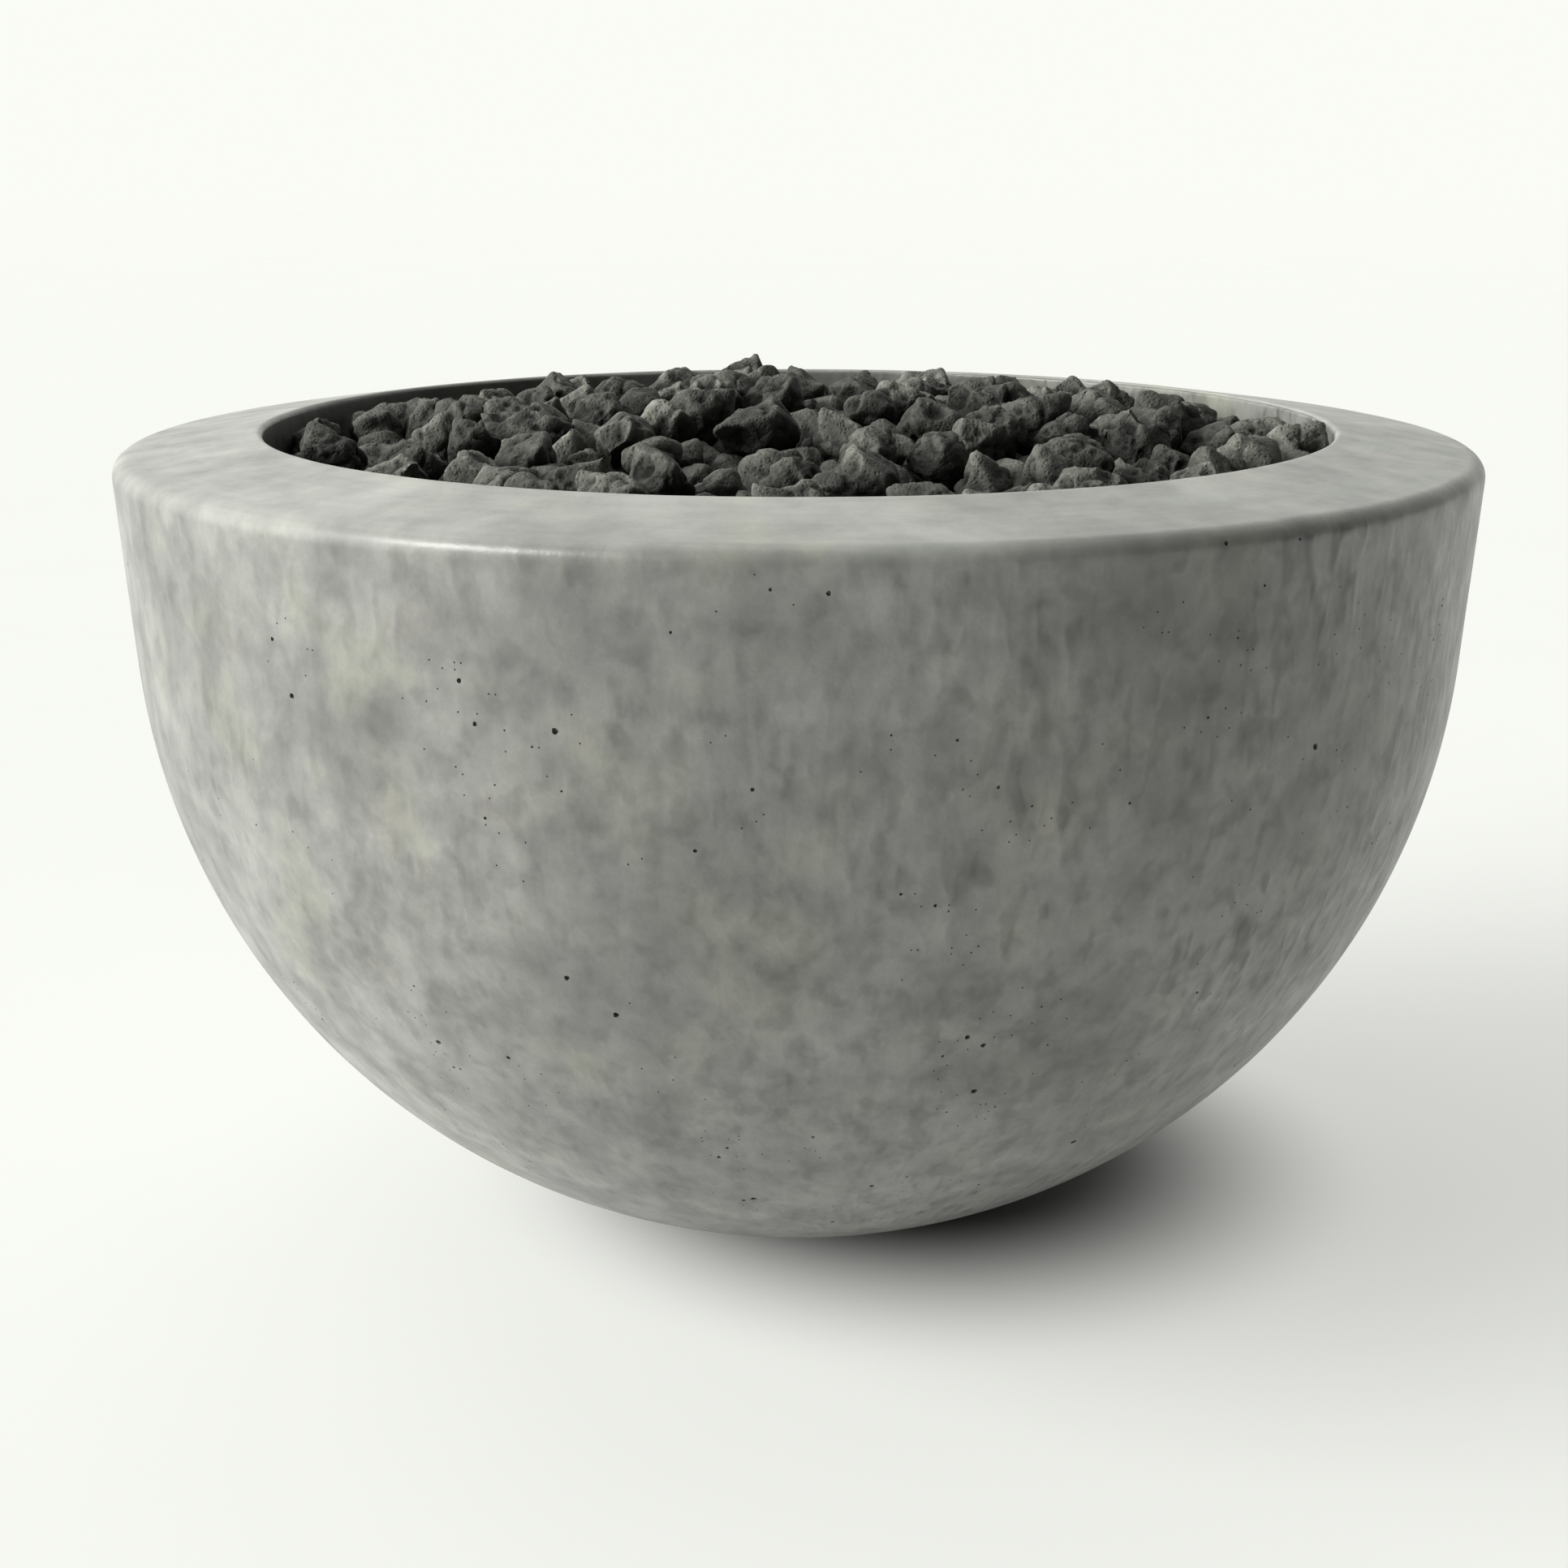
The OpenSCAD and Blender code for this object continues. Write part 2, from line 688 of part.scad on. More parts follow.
module gas_orifice() {
  color(brass) difference() {
    union() {
      translate([0, 0, mixer_bottom]) cylinder(d = spud_d, h = spud_l);
      translate([0, 0, orifice_bottom]) hex(line_nut_af, orifice_hex_h);
      translate([0, 0, orifice_nose]) cylinder(r = line_r, h = nose_l);
    }
    translate([0, 0, orifice_nose - cut]) cylinder(d = spud_d / 2, h = nose_l + orifice_hex_h + spud_l / 2);
    translate([0, 0, orifice_bottom]) cylinder(d = jet_d, h = orifice_hex_h + spud_l + cut);
  }
}

// A nut that joins a line to a nose, drawn round the face where they meet, with the line on the low side
module line_nut() {
  difference() {
    translate([0, 0, -grip_l]) hex(line_nut_af, line_nut_l);
    translate([0, 0, -grip_l - cut]) cylinder(r = line_r + seat_gap, h = line_nut_l + 2 * cut);
  }
}

module mixer_hose_nut() {
  color(brass) translate(hose_from) line_nut();
}

module valve_hose_nut() {
  color(brass) translate(hose_to) along_x() line_nut();
}

module supply_nut() {
  color(brass) translate([0, valve_y, inlet_nose]) line_nut();
}

// Hose and pipe

// Place on the hose's curve, from 0 at the mixer's end to 1 at the valve's end
function hose_place(t) =
  hose_points[0] * (1 - t) ^ 3 + hose_points[1] * 3 * (1 - t) ^ 2 * t
  + hose_points[2] * 3 * (1 - t) * t ^ 2 + hose_points[3] * t ^ 3;

function hose_heading(t) =
  (hose_points[1] - hose_points[0]) * (1 - t) ^ 2 + (hose_points[2] - hose_points[1]) * 2 * (1 - t) * t
  + (hose_points[3] - hose_points[2]) * t ^ 2;

function unit(v) = v / norm(v);

// A ring of points round a place on the hose, square to the way it heads
function hose_ring(place, heading, r) =
  let (
    ahead = unit(heading),
    side = unit(cross(ahead, [1, 2, 0])),
    up = cross(side, ahead)
  )
  [for (i = [0:hose_sides - 1])
    place + r * (cos(i * 360 / hose_sides) * side + sin(i * 360 / hose_sides) * up)];

// Triangles between two rings of points whose numbers start at a and b
function band(a, b) =
  [for (i = [0:hose_sides - 1])
    let (j = (i + 1) % hose_sides)
    each [[a + i, b + i, b + j], [a + i, b + j, a + j]]];

module gas_hose() {
  steps = 2 * hose_ribs;
  places = concat([hose_from], [for (i = [0:steps]) hose_place(i / steps)], [hose_to]);
  headings = concat([[0, 0, -1]], [for (i = [0:steps]) hose_heading(i / steps)], [[1, 0, 0]]);
  radii = concat([line_r], [for (i = [0:steps]) line_r - rib_depth * (i % 2)], [line_r]);
  rings = len(places);
  points = concat(
    [for (i = [0:rings - 1]) each hose_ring(places[i], headings[i], radii[i])],
    [for (i = [0:rings - 1]) each hose_ring(places[i], headings[i], line_bore_r)]
  );
  inner = rings * hose_sides;
  last = (rings - 1) * hose_sides;
  faces = concat(
    [for (i = [0:rings - 2]) each band(i * hose_sides, (i + 1) * hose_sides)],
    [for (i = [0:rings - 2]) each band(inner + (i + 1) * hose_sides, inner + i * hose_sides)],
    band(inner, 0),
    band(last, inner + last)
  );
  color(steel) polyhedron(points, faces);
}

// The pipe's profile, or its bore, along the whole route
module pipe_route(r, over) {
  low_y = pipe_low_bend;
  low_z = pipe_run_z - pipe_low_bend;
  high_y = valve_y - pipe_high_bend;
  high_z = pipe_run_z + pipe_high_bend;
  translate([0, 0, pipe_foot - over]) cylinder(r = r, h = nose_l + over);
  translate([0, low_y, low_z]) rotate([90, 0, 90]) rotate_extrude(angle = 90, start = 90)
    translate([pipe_low_bend, 0]) circle(r);
  translate([0, low_y, pipe_run_z]) along_y() cylinder(r = r, h = high_y - low_y);
  translate([0, high_y, high_z]) rotate([90, 0, 90]) rotate_extrude(angle = 90, start = 270)
    translate([pipe_high_bend, 0]) circle(r);
  translate([0, valve_y, high_z]) cylinder(r = r, h = inlet_nose - high_z + over);
}

module supply_pipe() {
  color(steel) difference() {
    pipe_route(line_r, 0);
    pipe_route(line_bore_r, cut);
  }
}

module inlet_fitting() {
  color(brass) translate([0, 0, inlet_bottom]) difference() {
    hex(inlet_af, inlet_l);
    translate([0, 0, inlet_l - nose_l]) cylinder(r = line_r + seat_gap, h = nose_l + cut);
    translate([0, 0, -cut]) cylinder(d = inlet_bore_d, h = inlet_bore_l + cut);
    cylinder(r = line_bore_r, h = inlet_l);
  }
}

// Valve

module valve_body() {
  color(brass) difference() {
    union() {
      translate([0, valve_y - barrel_half, valve_z]) along_y() cylinder(r = barrel_r, h = 2 * barrel_half);
      translate([0, valve_y, valve_z]) along_y() cylinder(r = neck_r, h = neck_end - valve_y);
      translate([-boss_reach, valve_y, valve_z]) along_x() cylinder(r = boss_r, h = boss_reach);
      translate([0, valve_y, valve_z - boss_reach]) cylinder(r = boss_r, h = boss_reach);
      translate([outlet_nose, valve_y, valve_z]) along_x() cylinder(r = line_r, h = nose_l + cut);
      translate([0, valve_y, inlet_nose]) cylinder(r = line_r, h = nose_l + cut);
    }
    translate([0, valve_y - barrel_half - cut, valve_z]) along_y()
      cylinder(r = plug_r + run_gap, h = plug_outer - valve_y + barrel_half + cut + end_gap);
    translate([0, valve_y - barrel_half - cut, valve_z]) along_y()
      cylinder(r = cap_r + seat_gap, h = cap_t + cut);
    translate([0, valve_y, valve_z]) along_y() cylinder(r = stem_r + run_gap, h = neck_end - valve_y + cut);
    translate([outlet_nose - cut, valve_y, valve_z]) along_x()
      cylinder(r = plug_port_r, h = -outlet_nose + cut);
    translate([0, valve_y, inlet_nose - cut]) cylinder(r = plug_port_r, h = valve_z - inlet_nose + cut);
  }
}

module valve_plug() {
  color(brass) difference() {
    union() {
      translate([0, plug_inner, valve_z]) along_y() cylinder(r = plug_r, h = plug_outer - plug_inner);
      translate([0, valve_y, valve_z]) along_y() cylinder(r = stem_r, h = stem_end - valve_y);
    }
    for (y = seal_ys) {
      translate([0, y - seal_groove_w / 2, valve_z]) along_y() difference() {
        cylinder(r = stem_r + cut, h = seal_groove_w);
        translate([0, 0, -cut]) cylinder(r = seal_groove_r, h = seal_groove_w + 2 * cut);
      }
    }
    // At rest the two ports of the plug face the inlet and the blind side, so the valve is shut.
    translate([0, valve_y, valve_z - plug_d]) cylinder(r = plug_port_r, h = plug_d);
    translate([0, valve_y, valve_z]) along_x() cylinder(r = plug_port_r, h = plug_d);
    translate([-key_square / 2 - key_gap, key_tip - key_gap, valve_z - key_square / 2 - key_gap])
      cube([key_square + 2 * key_gap, key_depth + cut, key_square + 2 * key_gap]);
  }
}

module valve_cap() {
  color(brass) translate([0, valve_y - barrel_half, valve_z]) along_y() {
    cylinder(r = cap_r, h = cap_t);
    translate([0, 0, -cap_flange_t]) hex(barrel_d * cos(30), cap_flange_t);
  }
}

module stem_seals() {
  color(rubber) for (y = seal_ys) {
    translate([0, y, valve_z]) along_y() rotate_extrude() translate([seal_mean_r, 0]) circle(seal_r);
  }
}

module wall_sleeve() {
  color(steel) translate([0, throat_r + seat_gap, valve_z]) along_y() difference() {
    cylinder(r = sleeve_r, h = pocket_y - throat_r - seat_gap);
    translate([0, 0, -cut]) cylinder(r = neck_r + seat_gap, h = pocket_y - throat_r + 2 * cut);
  }
}

module wall_nut() {
  color(steel) translate([0, throat_r - wall_nut_h, valve_z]) along_y() difference() {
    hex(wall_nut_af, wall_nut_h);
    translate([0, 0, -cut]) cylinder(r = neck_r + seat_gap, h = wall_nut_h + 2 * cut);
  }
}

module cover_ring() {
  color(steel) translate([0, pocket_y, 0]) difference() {
    translate([0, 0, valve_z]) along_y() cylinder(d = cover_d, h = cover_t);
    translate([0, -cut, valve_z]) along_y() cylinder(r = cover_hole_r, h = cover_t + 2 * cut);
    translate([0, -cut, 0]) cover_ring_of(cover_screw_count, cover_screw_circle / 2)
      cylinder(d = cover_screw_d + 2 * seat_gap, h = cover_t + 2 * cut);
  }
}

module cover_screws() {
  color(steel) translate([0, cover_front, 0]) {
    cover_ring_of(cover_screw_count, cover_screw_circle / 2) {
      cylinder(d = cover_screw_head_d, h = cover_screw_head_h);
      translate([0, 0, -cover_screw_l]) cylinder(d = cover_screw_d, h = cover_screw_l);
    }
  }
}

module wall_plugs() {
  color(nylon) translate([0, pocket_y - wall_plug_l, 0]) {
    cover_ring_of(cover_screw_count, cover_screw_circle / 2) difference() {
      cylinder(d = wall_plug_d, h = wall_plug_l);
      translate([0, 0, cut]) cylinder(d = cover_screw_d + 2 * seat_gap, h = wall_plug_l);
    }
  }
}

module valve_key() {
  color(steel) {
    translate([-key_square / 2, key_tip, valve_z - key_square / 2])
      cube([key_square, cover_front - key_tip, key_square]);
    translate([0, cover_front - cover_t, valve_z]) along_y()
      cylinder(d = key_stop_d, h = key_stop_t);
    translate([0, cover_front - cover_t, valve_z]) along_y()
      cylinder(d = key_shaft_d, h = key_reach + cover_t);
    translate([0, key_bar_y, valve_z - key_bar_l / 2]) cylinder(d = key_bar_d, h = key_bar_l);
  }
}

// Lava rock

module lava_bed() {
  color(lava) difference() {
    rotate_extrude() difference() {
      intersection() {
        union() {
          translate([0, pan_floor]) square([pan_r - pan_t - rock_gap, pan_depth + cut]);
          translate([0, flange_top]) square([bed_r, bed_edge + bed_rise - flange_top]);
        }
        translate([0, dome_z]) circle(dome_r);
      }
      translate([0, pan_floor - cut]) {
        square([hub_r + burner_clear, burner_z + hub_h / 2 - pan_floor + burner_clear + cut]);
        for (r = [inner_ring_r, outer_ring_r]) {
          translate([r - tube_r - burner_clear, 0])
            square([tube_d + 2 * burner_clear, burner_lift + tube_d + burner_clear + cut]);
        }
      }
    }
    translate([0, 0, pan_floor - cut]) ring_of(spoke_count, 0)
      translate([0, -spoke_r - burner_clear, 0])
        cube([outer_ring_r, spoke_d + 2 * burner_clear, spoke_trench + cut]);
  }
}

function bed_height(x, y) = dome_z + sqrt(dome_r ^ 2 - x ^ 2 - y ^ 2);

function between(range, share) = range[0] + (range[1] - range[0]) * share;

// Middles of the rocks of one layer: a loose triangular grid, shifted by [dx, dy], with a share of its
// places left out
function rock_layer(shift, heights, share, seed) =
  let (chance = rands(0, 1, rock_cells * 4, seed))
  [for (j = [-rock_rows:rock_rows], i = [-rock_cols:rock_cols])
    let (
      k = 4 * ((j + rock_rows) * (2 * rock_cols + 1) + i + rock_cols),
      x = rock_pitch * (i + (abs(j) % 2) / 2) + shift.x + rock_jitter * (2 * chance[k] - 1),
      y = rock_row * j + shift.y + rock_jitter * (2 * chance[k + 1] - 1)
    )
    if (chance[k + 3] < share && norm([x, y]) < opening_r - rock_margin)
      [x, y, bed_height(x, y) + between(heights, chance[k + 2])]];

// Flat limits round a rock, each as a direction and a distance: half way to its neighbours, the bed
// under it and the wall of the opening
function rock_limits(place, places) =
  let (
    bed_normal = unit(place - [0, 0, dome_z]),
    out = unit([place.x, place.y, 0])
  )
  concat(
    [for (p = places) if (p != place && norm(p - place) < 3 * rock_r)
      [unit(p - place), (norm(p - place) - rock_gap) / 2]],
    [[-bed_normal, norm(place - [0, 0, dome_z]) - dome_r - rock_gap]],
    [[out, opening_r - rock_wall_gap - norm([place.x, place.y])]]
  );

// How far a rock may reach in a direction, up to a given distance
function rock_room(way, limits, most) =
  min([most, for (l = limits) if (way * l[0] > 0) l[1] / (way * l[0])]);

// Directions spread evenly over a sphere, turned by an angle
function rock_ways(turn) =
  [for (i = [0:rock_points - 1])
    let (
      z = 1 - 2 * (i + 0.5) / rock_points,
      r = sqrt(1 - z ^ 2)
    )
    [r * cos(i * golden_turn + turn), r * sin(i * golden_turn + turn), z]];

// Corners of one rock: points spread round its middle, and a point at each neighbour that it leans on
function rock_corners(place, places, seed) =
  let (
    limits = rock_limits(place, places),
    chance = rands(0, 1, rock_points + 4, seed),
    size = rock_r * between(rock_sizes, chance[rock_points]),
    long_way = unit([chance[rock_points + 1] - 0.5, chance[rock_points + 2] - 0.5, 0.2]),
    ways = rock_ways(360 * chance[rock_points + 3])
  )
  concat(
    [for (i = [0:rock_points - 1])
      let (reach = size * (between(rock_reaches, chance[i]) + rock_stretch * (ways[i] * long_way) ^ 2))
      place + ways[i] * rock_room(ways[i], limits, reach)],
    [for (l = limits) if (l[1] < size) place + l[0] * rock_room(l[0], limits, l[1])]
  );

module rock(corners) {
  hull() polyhedron(corners, [[for (i = [0:len(corners) - 1]) i]]);
}

function lower_rocks() = rock_layer([0, 0], [seat_low, seat_high], 1, rock_seed);

function upper_rocks() =
  rock_layer([rock_pitch / 2, rock_row / 3], [perch_low, perch_high], upper_share, rock_seed + 1);

module rocks(layer, others, seed) {
  places = concat(layer, others);
  color(lava) for (i = [0:len(layer) - 1]) {
    rock(rock_corners(layer[i], places, seed + i));
  }
}

module lava_rocks_lower() {
  rocks(lower_rocks(), upper_rocks(), rock_seed * 1000);
}

module lava_rocks_upper() {
  rocks(upper_rocks(), lower_rocks(), rock_seed * 2000);
}

bowl_shell();
foot_pads();
burner_pan();
burner_outer_ring();
burner_inner_ring();
burner_outer_spokes();
burner_inner_spokes();
burner_hub();
burner_feet();
foot_screws();
feed_nipple();
pan_washers();
pan_locknuts();
air_mixer();
air_shutter();
shutter_screw();
gas_orifice();
mixer_hose_nut();
gas_hose();
valve_hose_nut();
valve_body();
valve_plug();
valve_cap();
stem_seals();
wall_sleeve();
wall_nut();
cover_ring();
cover_screws();
wall_plugs();
valve_key();
supply_nut();
supply_pipe();
inlet_fitting();
lava_bed();
lava_rocks_lower();
lava_rocks_upper();
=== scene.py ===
"""Looks of a cast-concrete gas fire bowl filled with black lava rock.

Metres, +Z up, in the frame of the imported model. The bowl and the loose rocks get finer meshes of their own,
and every other part keeps its CAD shape and gets a procedural finish.
"""

import itertools
import math

import bmesh
import bpy
import numpy as np
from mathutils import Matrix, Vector


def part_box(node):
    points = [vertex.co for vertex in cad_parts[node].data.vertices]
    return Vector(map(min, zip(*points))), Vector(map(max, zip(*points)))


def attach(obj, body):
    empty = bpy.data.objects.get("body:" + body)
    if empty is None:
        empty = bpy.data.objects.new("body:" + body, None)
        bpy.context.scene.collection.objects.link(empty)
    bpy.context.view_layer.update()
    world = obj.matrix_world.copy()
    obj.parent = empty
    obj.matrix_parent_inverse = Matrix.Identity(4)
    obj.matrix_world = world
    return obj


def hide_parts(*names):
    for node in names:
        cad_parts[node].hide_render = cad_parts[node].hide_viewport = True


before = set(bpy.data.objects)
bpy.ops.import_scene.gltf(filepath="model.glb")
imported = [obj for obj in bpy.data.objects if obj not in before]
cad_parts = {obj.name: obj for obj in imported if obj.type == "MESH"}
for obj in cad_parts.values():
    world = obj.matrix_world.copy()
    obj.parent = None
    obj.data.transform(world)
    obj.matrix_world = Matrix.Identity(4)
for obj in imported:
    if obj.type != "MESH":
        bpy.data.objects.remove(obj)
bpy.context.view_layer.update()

# Camera, fitted to the bowl's outline and rim

IMAGE_SIZE = 1932
FOCAL_PIXELS = 3000
SENSOR = 36
CAMERA_PLACE = (0.0, -1.68, 0.74)
CAMERA_DOWN = math.radians(15.07)
CAMERA_YAW = math.radians(0.321)

# Stage

FLOOR_HALF = 30.0
FLOOR_FADE = (3.0, 24.0)
FLOOR_GREYS = (0.285, 0.2907)
# The floor glows, lifting the shade round the bowl with painted light, and the glow dims round a spot near
# the foot: a painted shadow
FLOOR_GLOW = 0.53
PAINTED_SHADOW_CENTRE = (0.09, 0.014, 0.0)
PAINTED_SHADOW_SPAN = (0.12, 0.345)
LIGHT_TINT = (0.989, 1.0, 0.95)
SURROUND_BRIGHT_SIDE = (-0.5, 0.8, 0.25)
SURROUND_SPAN = (-0.2, 0.9)
SURROUND_LIGHT = (0.04, 1.15)
HORIZON_BAND = (0.05, 0.09)
HORIZON_GLOW = 0.965

# Lights: name, side that it comes from, softness in degrees, strength, whether for matt shading and for gloss

LIGHTS = (
    ("top_light", (-0.2, 0.3, 0.93), 40, 0.4, True, True),
    ("left_light", (-0.96, -0.18, 0.33), 50, 8.4, True, False),
    ("glint", (-0.7, -0.4, 0.6), 20, 2.2, False, True),
)

# Bowl

bowl_low, bowl_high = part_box("bowl_shell")
RIM_R = bowl_high.x
RIM_Z = bowl_high.z
FOOT_Z = bowl_low.z
FOOT_R = 0.1325
OPENING_R = 0.36
COLLAR_LEAN = math.radians(4)
RIM_FALL = math.radians(8)
OUTER_ROUND = 0.012
INNER_ROUND = 0.004
LEDGE_DEPTH = 0.075
LEDGE_W = 0.03
WALL = 0.045
ENTRY_R = 0.025
POCKET_R = 0.036
SPOT_FACE_R = 0.0205
SEAT_GAP = 0.0001
RIM_DROP = (RIM_R - OUTER_ROUND - OPENING_R) * math.tan(RIM_FALL)
AROUND = 720
FINE_STEP = 0.004
ROUND_STEP = 0.002
COARSE_STEP = 0.012
BOWL_SMOOTH_ANGLE = 35

# Waves in the bowl's surface: depth, and the size, share and seed of each

WAVE_DEPTH = 0.00022
WAVES = ((0.07, 0.5, 3), (0.025, 0.35, 4))

# Air holes in the concrete

PIT_SEED = 5
PIT_CLUSTERS = 340
PIT_COUNTS = (1, 10)
PIT_SPREAD = 0.014
PIT_RADII = (0.00055, 0.0022)
PIT_RARITY = 14
PIT_MARGIN = 1.7
PIT_WOBBLE = 0.16
PIT_PROFILE = ((1.0, 0.0), (0.9, 0.45), (0.55, 1.1))
PIT_FLOOR = 1.25
PIT_FEWEST_SIDES = 8

# Loose rocks

ROCK_LAYERS = (("lava_lumps_lower", "lava_rocks_lower", 4), ("lava_lumps_upper", "lava_rocks_upper", 5))
ROCK_SEED = 11
ROCK_EDGES = (7, 24)
ROCK_FILL = 1.1
ROCK_WARP = 0.13
ROCK_WARP_SIZE = 0.026
ROCK_TONES = (0.54, 1.42)
RIDGE_REACH = 10
RIDGE_HEIGHT = 0.001
# The rocks' tones carry painted shade, darker low on each rock and in hollows, and paler ridges that are
# partly dust and partly painted highlight
RIDGE_DUST_AND_SHADE_SHARE = 0.75
LOW_PAINTED_SHADE = 0.14
SCOOP_COUNTS = (3, 8)
SCOOP_RADII = (0.45, 1.3)
SCOOP_DEPTHS = (0.05, 0.24)
BUMP_DEPTHS = (0.0012, 0.0008)
BUMP_SIZES = (0.011, 0.005)
CREASE_DEPTH = 0.0022
CREASE_SIZE = 0.017
CREASE_SHARPNESS = 7
BUBBLE_DEPTH = 0.0024
BUBBLE_SPACING = 0.0085
BUBBLE_REACH = 0.4
BUBBLE_PATCH_SIZE = 0.03

# Colours

CONCRETE_DARK = (0.112, 0.113, 0.108, 1)
CONCRETE_PALE = (0.158, 0.16, 0.153, 1)
CONCRETE_TINTS = ((15.0, (1.05, 1.04, 0.84, 1)), (17.0, (1.06, 0.99, 0.98, 1)))
LAVA_DARK = (0.034, 0.035, 0.031, 1)
LAVA_PALE = (0.068, 0.07, 0.062, 1)
LAVA_DUST = (0.12, 0.122, 0.11, 1)
# Painted shade inside the lava's small bubble pits
LAVA_BUBBLE_SHADE = (0.01, 0.01, 0.009, 1)


# Random patterns

def lattice_values(cells, seed):
    """A repeatable number from 0 to 1 for each cell of an integer lattice."""
    x, y, z = (cells[..., k].astype(np.uint32) for k in range(3))
    mixed = x * np.uint32(374761393) + y * np.uint32(668265263) + z * np.uint32(2246822519)
    mixed = mixed + np.uint32(seed * 40503 + 17)
    mixed = (mixed ^ (mixed >> np.uint32(13))) * np.uint32(1274126177)
    mixed = mixed ^ (mixed >> np.uint32(16))
    return (mixed & np.uint32(0xFFFFFF)).astype(float) / 0xFFFFFF


def smooth_noise(points, size, seed):
    """Noise from -1 to 1 whose lumps have the given size."""
    scaled = points / size
    cells = np.floor(scaled).astype(np.int64)
    part = scaled - cells
    ease = part * part * (3 - 2 * part)
    total = np.zeros(len(points))
    for corner in itertools.product((0, 1), repeat=3):
        weight = np.prod(np.where(np.array(corner) == 1, ease, 1 - ease), axis=-1)
        total += weight * lattice_values(cells + np.array(corner), seed)
    return 2 * total - 1


def hole_distance(points, size, seed):
    """Distance to the nearest of a scatter of points, one in each cell, as a share of the cell's size."""
    scaled = points / size
    cells = np.floor(scaled).astype(np.int64)
    nearest = np.full(len(points), 9.0)
    for step in itertools.product((-1, 0, 1), repeat=3):
        cell = cells + np.array(step)
        spot = np.stack([lattice_values(cell, seed + k) for k in range(3)], axis=-1)
        nearest = np.minimum(nearest, np.linalg.norm(cell + spot - scaled, axis=-1))
    return nearest


# Meshes

def make_piece(name, points, faces, smooth_angle):
    """A mesh object from points and faces, shaded smooth except at edges sharper than the angle."""
    mesh = bpy.data.meshes.new(name)
    mesh.from_pydata([tuple(p) for p in points], [], faces)
    mesh.validate()
    mesh.shade_smooth()
    mesh.set_sharp_from_angle(angle=math.radians(smooth_angle))
    piece = bpy.data.objects.new(name, mesh)
    bpy.context.scene.collection.objects.link(piece)
    return piece


def line(start, end, step):
    """Points along a line, without its first one, no further apart than the step."""
    start, end = np.array(start), np.array(end)
    count = max(1, math.ceil(np.linalg.norm(end - start) / step))
    return [start + (end - start) * i / count for i in range(1, count + 1)]


def arc(centre, radius, first, last, step):
    """Points along an arc, without its first one, no further apart than the step."""
    count = max(2, math.ceil(abs(last - first) * radius / step))
    angles = [first + (last - first) * i / count for i in range(1, count + 1)]
    return [np.array(centre) + radius * np.array([math.cos(a), math.sin(a)]) for a in angles]


def bowl_section():
    """The closed section of the bowl, and which of its points are on the outside that shows.

    It runs from the gas entry out along the foot, up the belly and the collar, over the rim and back inside.
    """
    lean_cos, lean_sin = math.cos(COLLAR_LEAN), math.sin(COLLAR_LEAN)
    edge = np.array([OPENING_R + INNER_ROUND, RIM_Z - INNER_ROUND])
    rim_normal = np.array([math.sin(RIM_FALL), math.cos(RIM_FALL)])
    lip_x = RIM_R - OUTER_ROUND
    lip_z = (edge @ rim_normal + INNER_ROUND - OUTER_ROUND - lip_x * rim_normal[0]) / rim_normal[1]
    lip = np.array([lip_x, lip_z])
    reach = lip[0] * lean_cos - (lip[1] - FOOT_Z) * lean_sin + OUTER_ROUND
    rise = (reach * lean_sin + math.sqrt(reach ** 2 - (FOOT_R * lean_cos) ** 2)) / lean_cos ** 2
    belly_r = math.hypot(rise, FOOT_R)
    belly = np.array([0, FOOT_Z + rise])
    collar_top = lip + OUTER_ROUND * np.array([lean_cos, -lean_sin])
    ledge_z = RIM_Z - LEDGE_DEPTH
    throat_r = OPENING_R - LEDGE_W
    floor_z = FOOT_Z + WALL
    cavity_r = belly_r - WALL
    cavity_top = -math.acos(throat_r / cavity_r)
    cavity_foot = -math.asin((belly[1] - floor_z) / cavity_r)

    hidden = [np.array([ENTRY_R, FOOT_Z])]
    hidden += line((ENTRY_R, FOOT_Z), (FOOT_R, FOOT_Z), COARSE_STEP)
    outside = arc(belly, belly_r, math.asin(FOOT_R / belly_r) - math.pi / 2, -COLLAR_LEAN, FINE_STEP)
    outside += line(outside[-1], collar_top, FINE_STEP)
    outside += arc(lip, OUTER_ROUND, -COLLAR_LEAN, math.pi / 2 - RIM_FALL, ROUND_STEP)
    outside += line(outside[-1], edge + INNER_ROUND * rim_normal, FINE_STEP)
    outside += arc(edge, INNER_ROUND, math.pi / 2 - RIM_FALL, math.pi, ROUND_STEP / 2)
    outside += line((OPENING_R, RIM_Z - INNER_ROUND), (OPENING_R, ledge_z), FINE_STEP)
    inside = line((OPENING_R, ledge_z), (throat_r, ledge_z), COARSE_STEP)
    inside += line((throat_r, ledge_z), (throat_r, belly[1] + cavity_r * math.sin(cavity_top)), COARSE_STEP)
    inside += arc(belly, cavity_r, cavity_top, cavity_foot, COARSE_STEP)
    inside += line(inside[-1], (ENTRY_R, floor_z), COARSE_STEP)
    inside += line((ENTRY_R, floor_z), (ENTRY_R, FOOT_Z), COARSE_STEP)[:-1]
    section = np.array(hidden + outside + inside)
    shows = np.zeros(len(section), bool)
    shows[len(hidden):len(hidden) + len(outside)] = True
    return section, shows


def section_normals(section):
    """The outward normals of a closed section."""
    ahead = np.roll(section, -1, axis=0) - np.roll(section, 1, axis=0)
    normals = np.stack([ahead[:, 1], -ahead[:, 0]], axis=1)
    return normals / np.linalg.norm(normals, axis=1)[:, None]


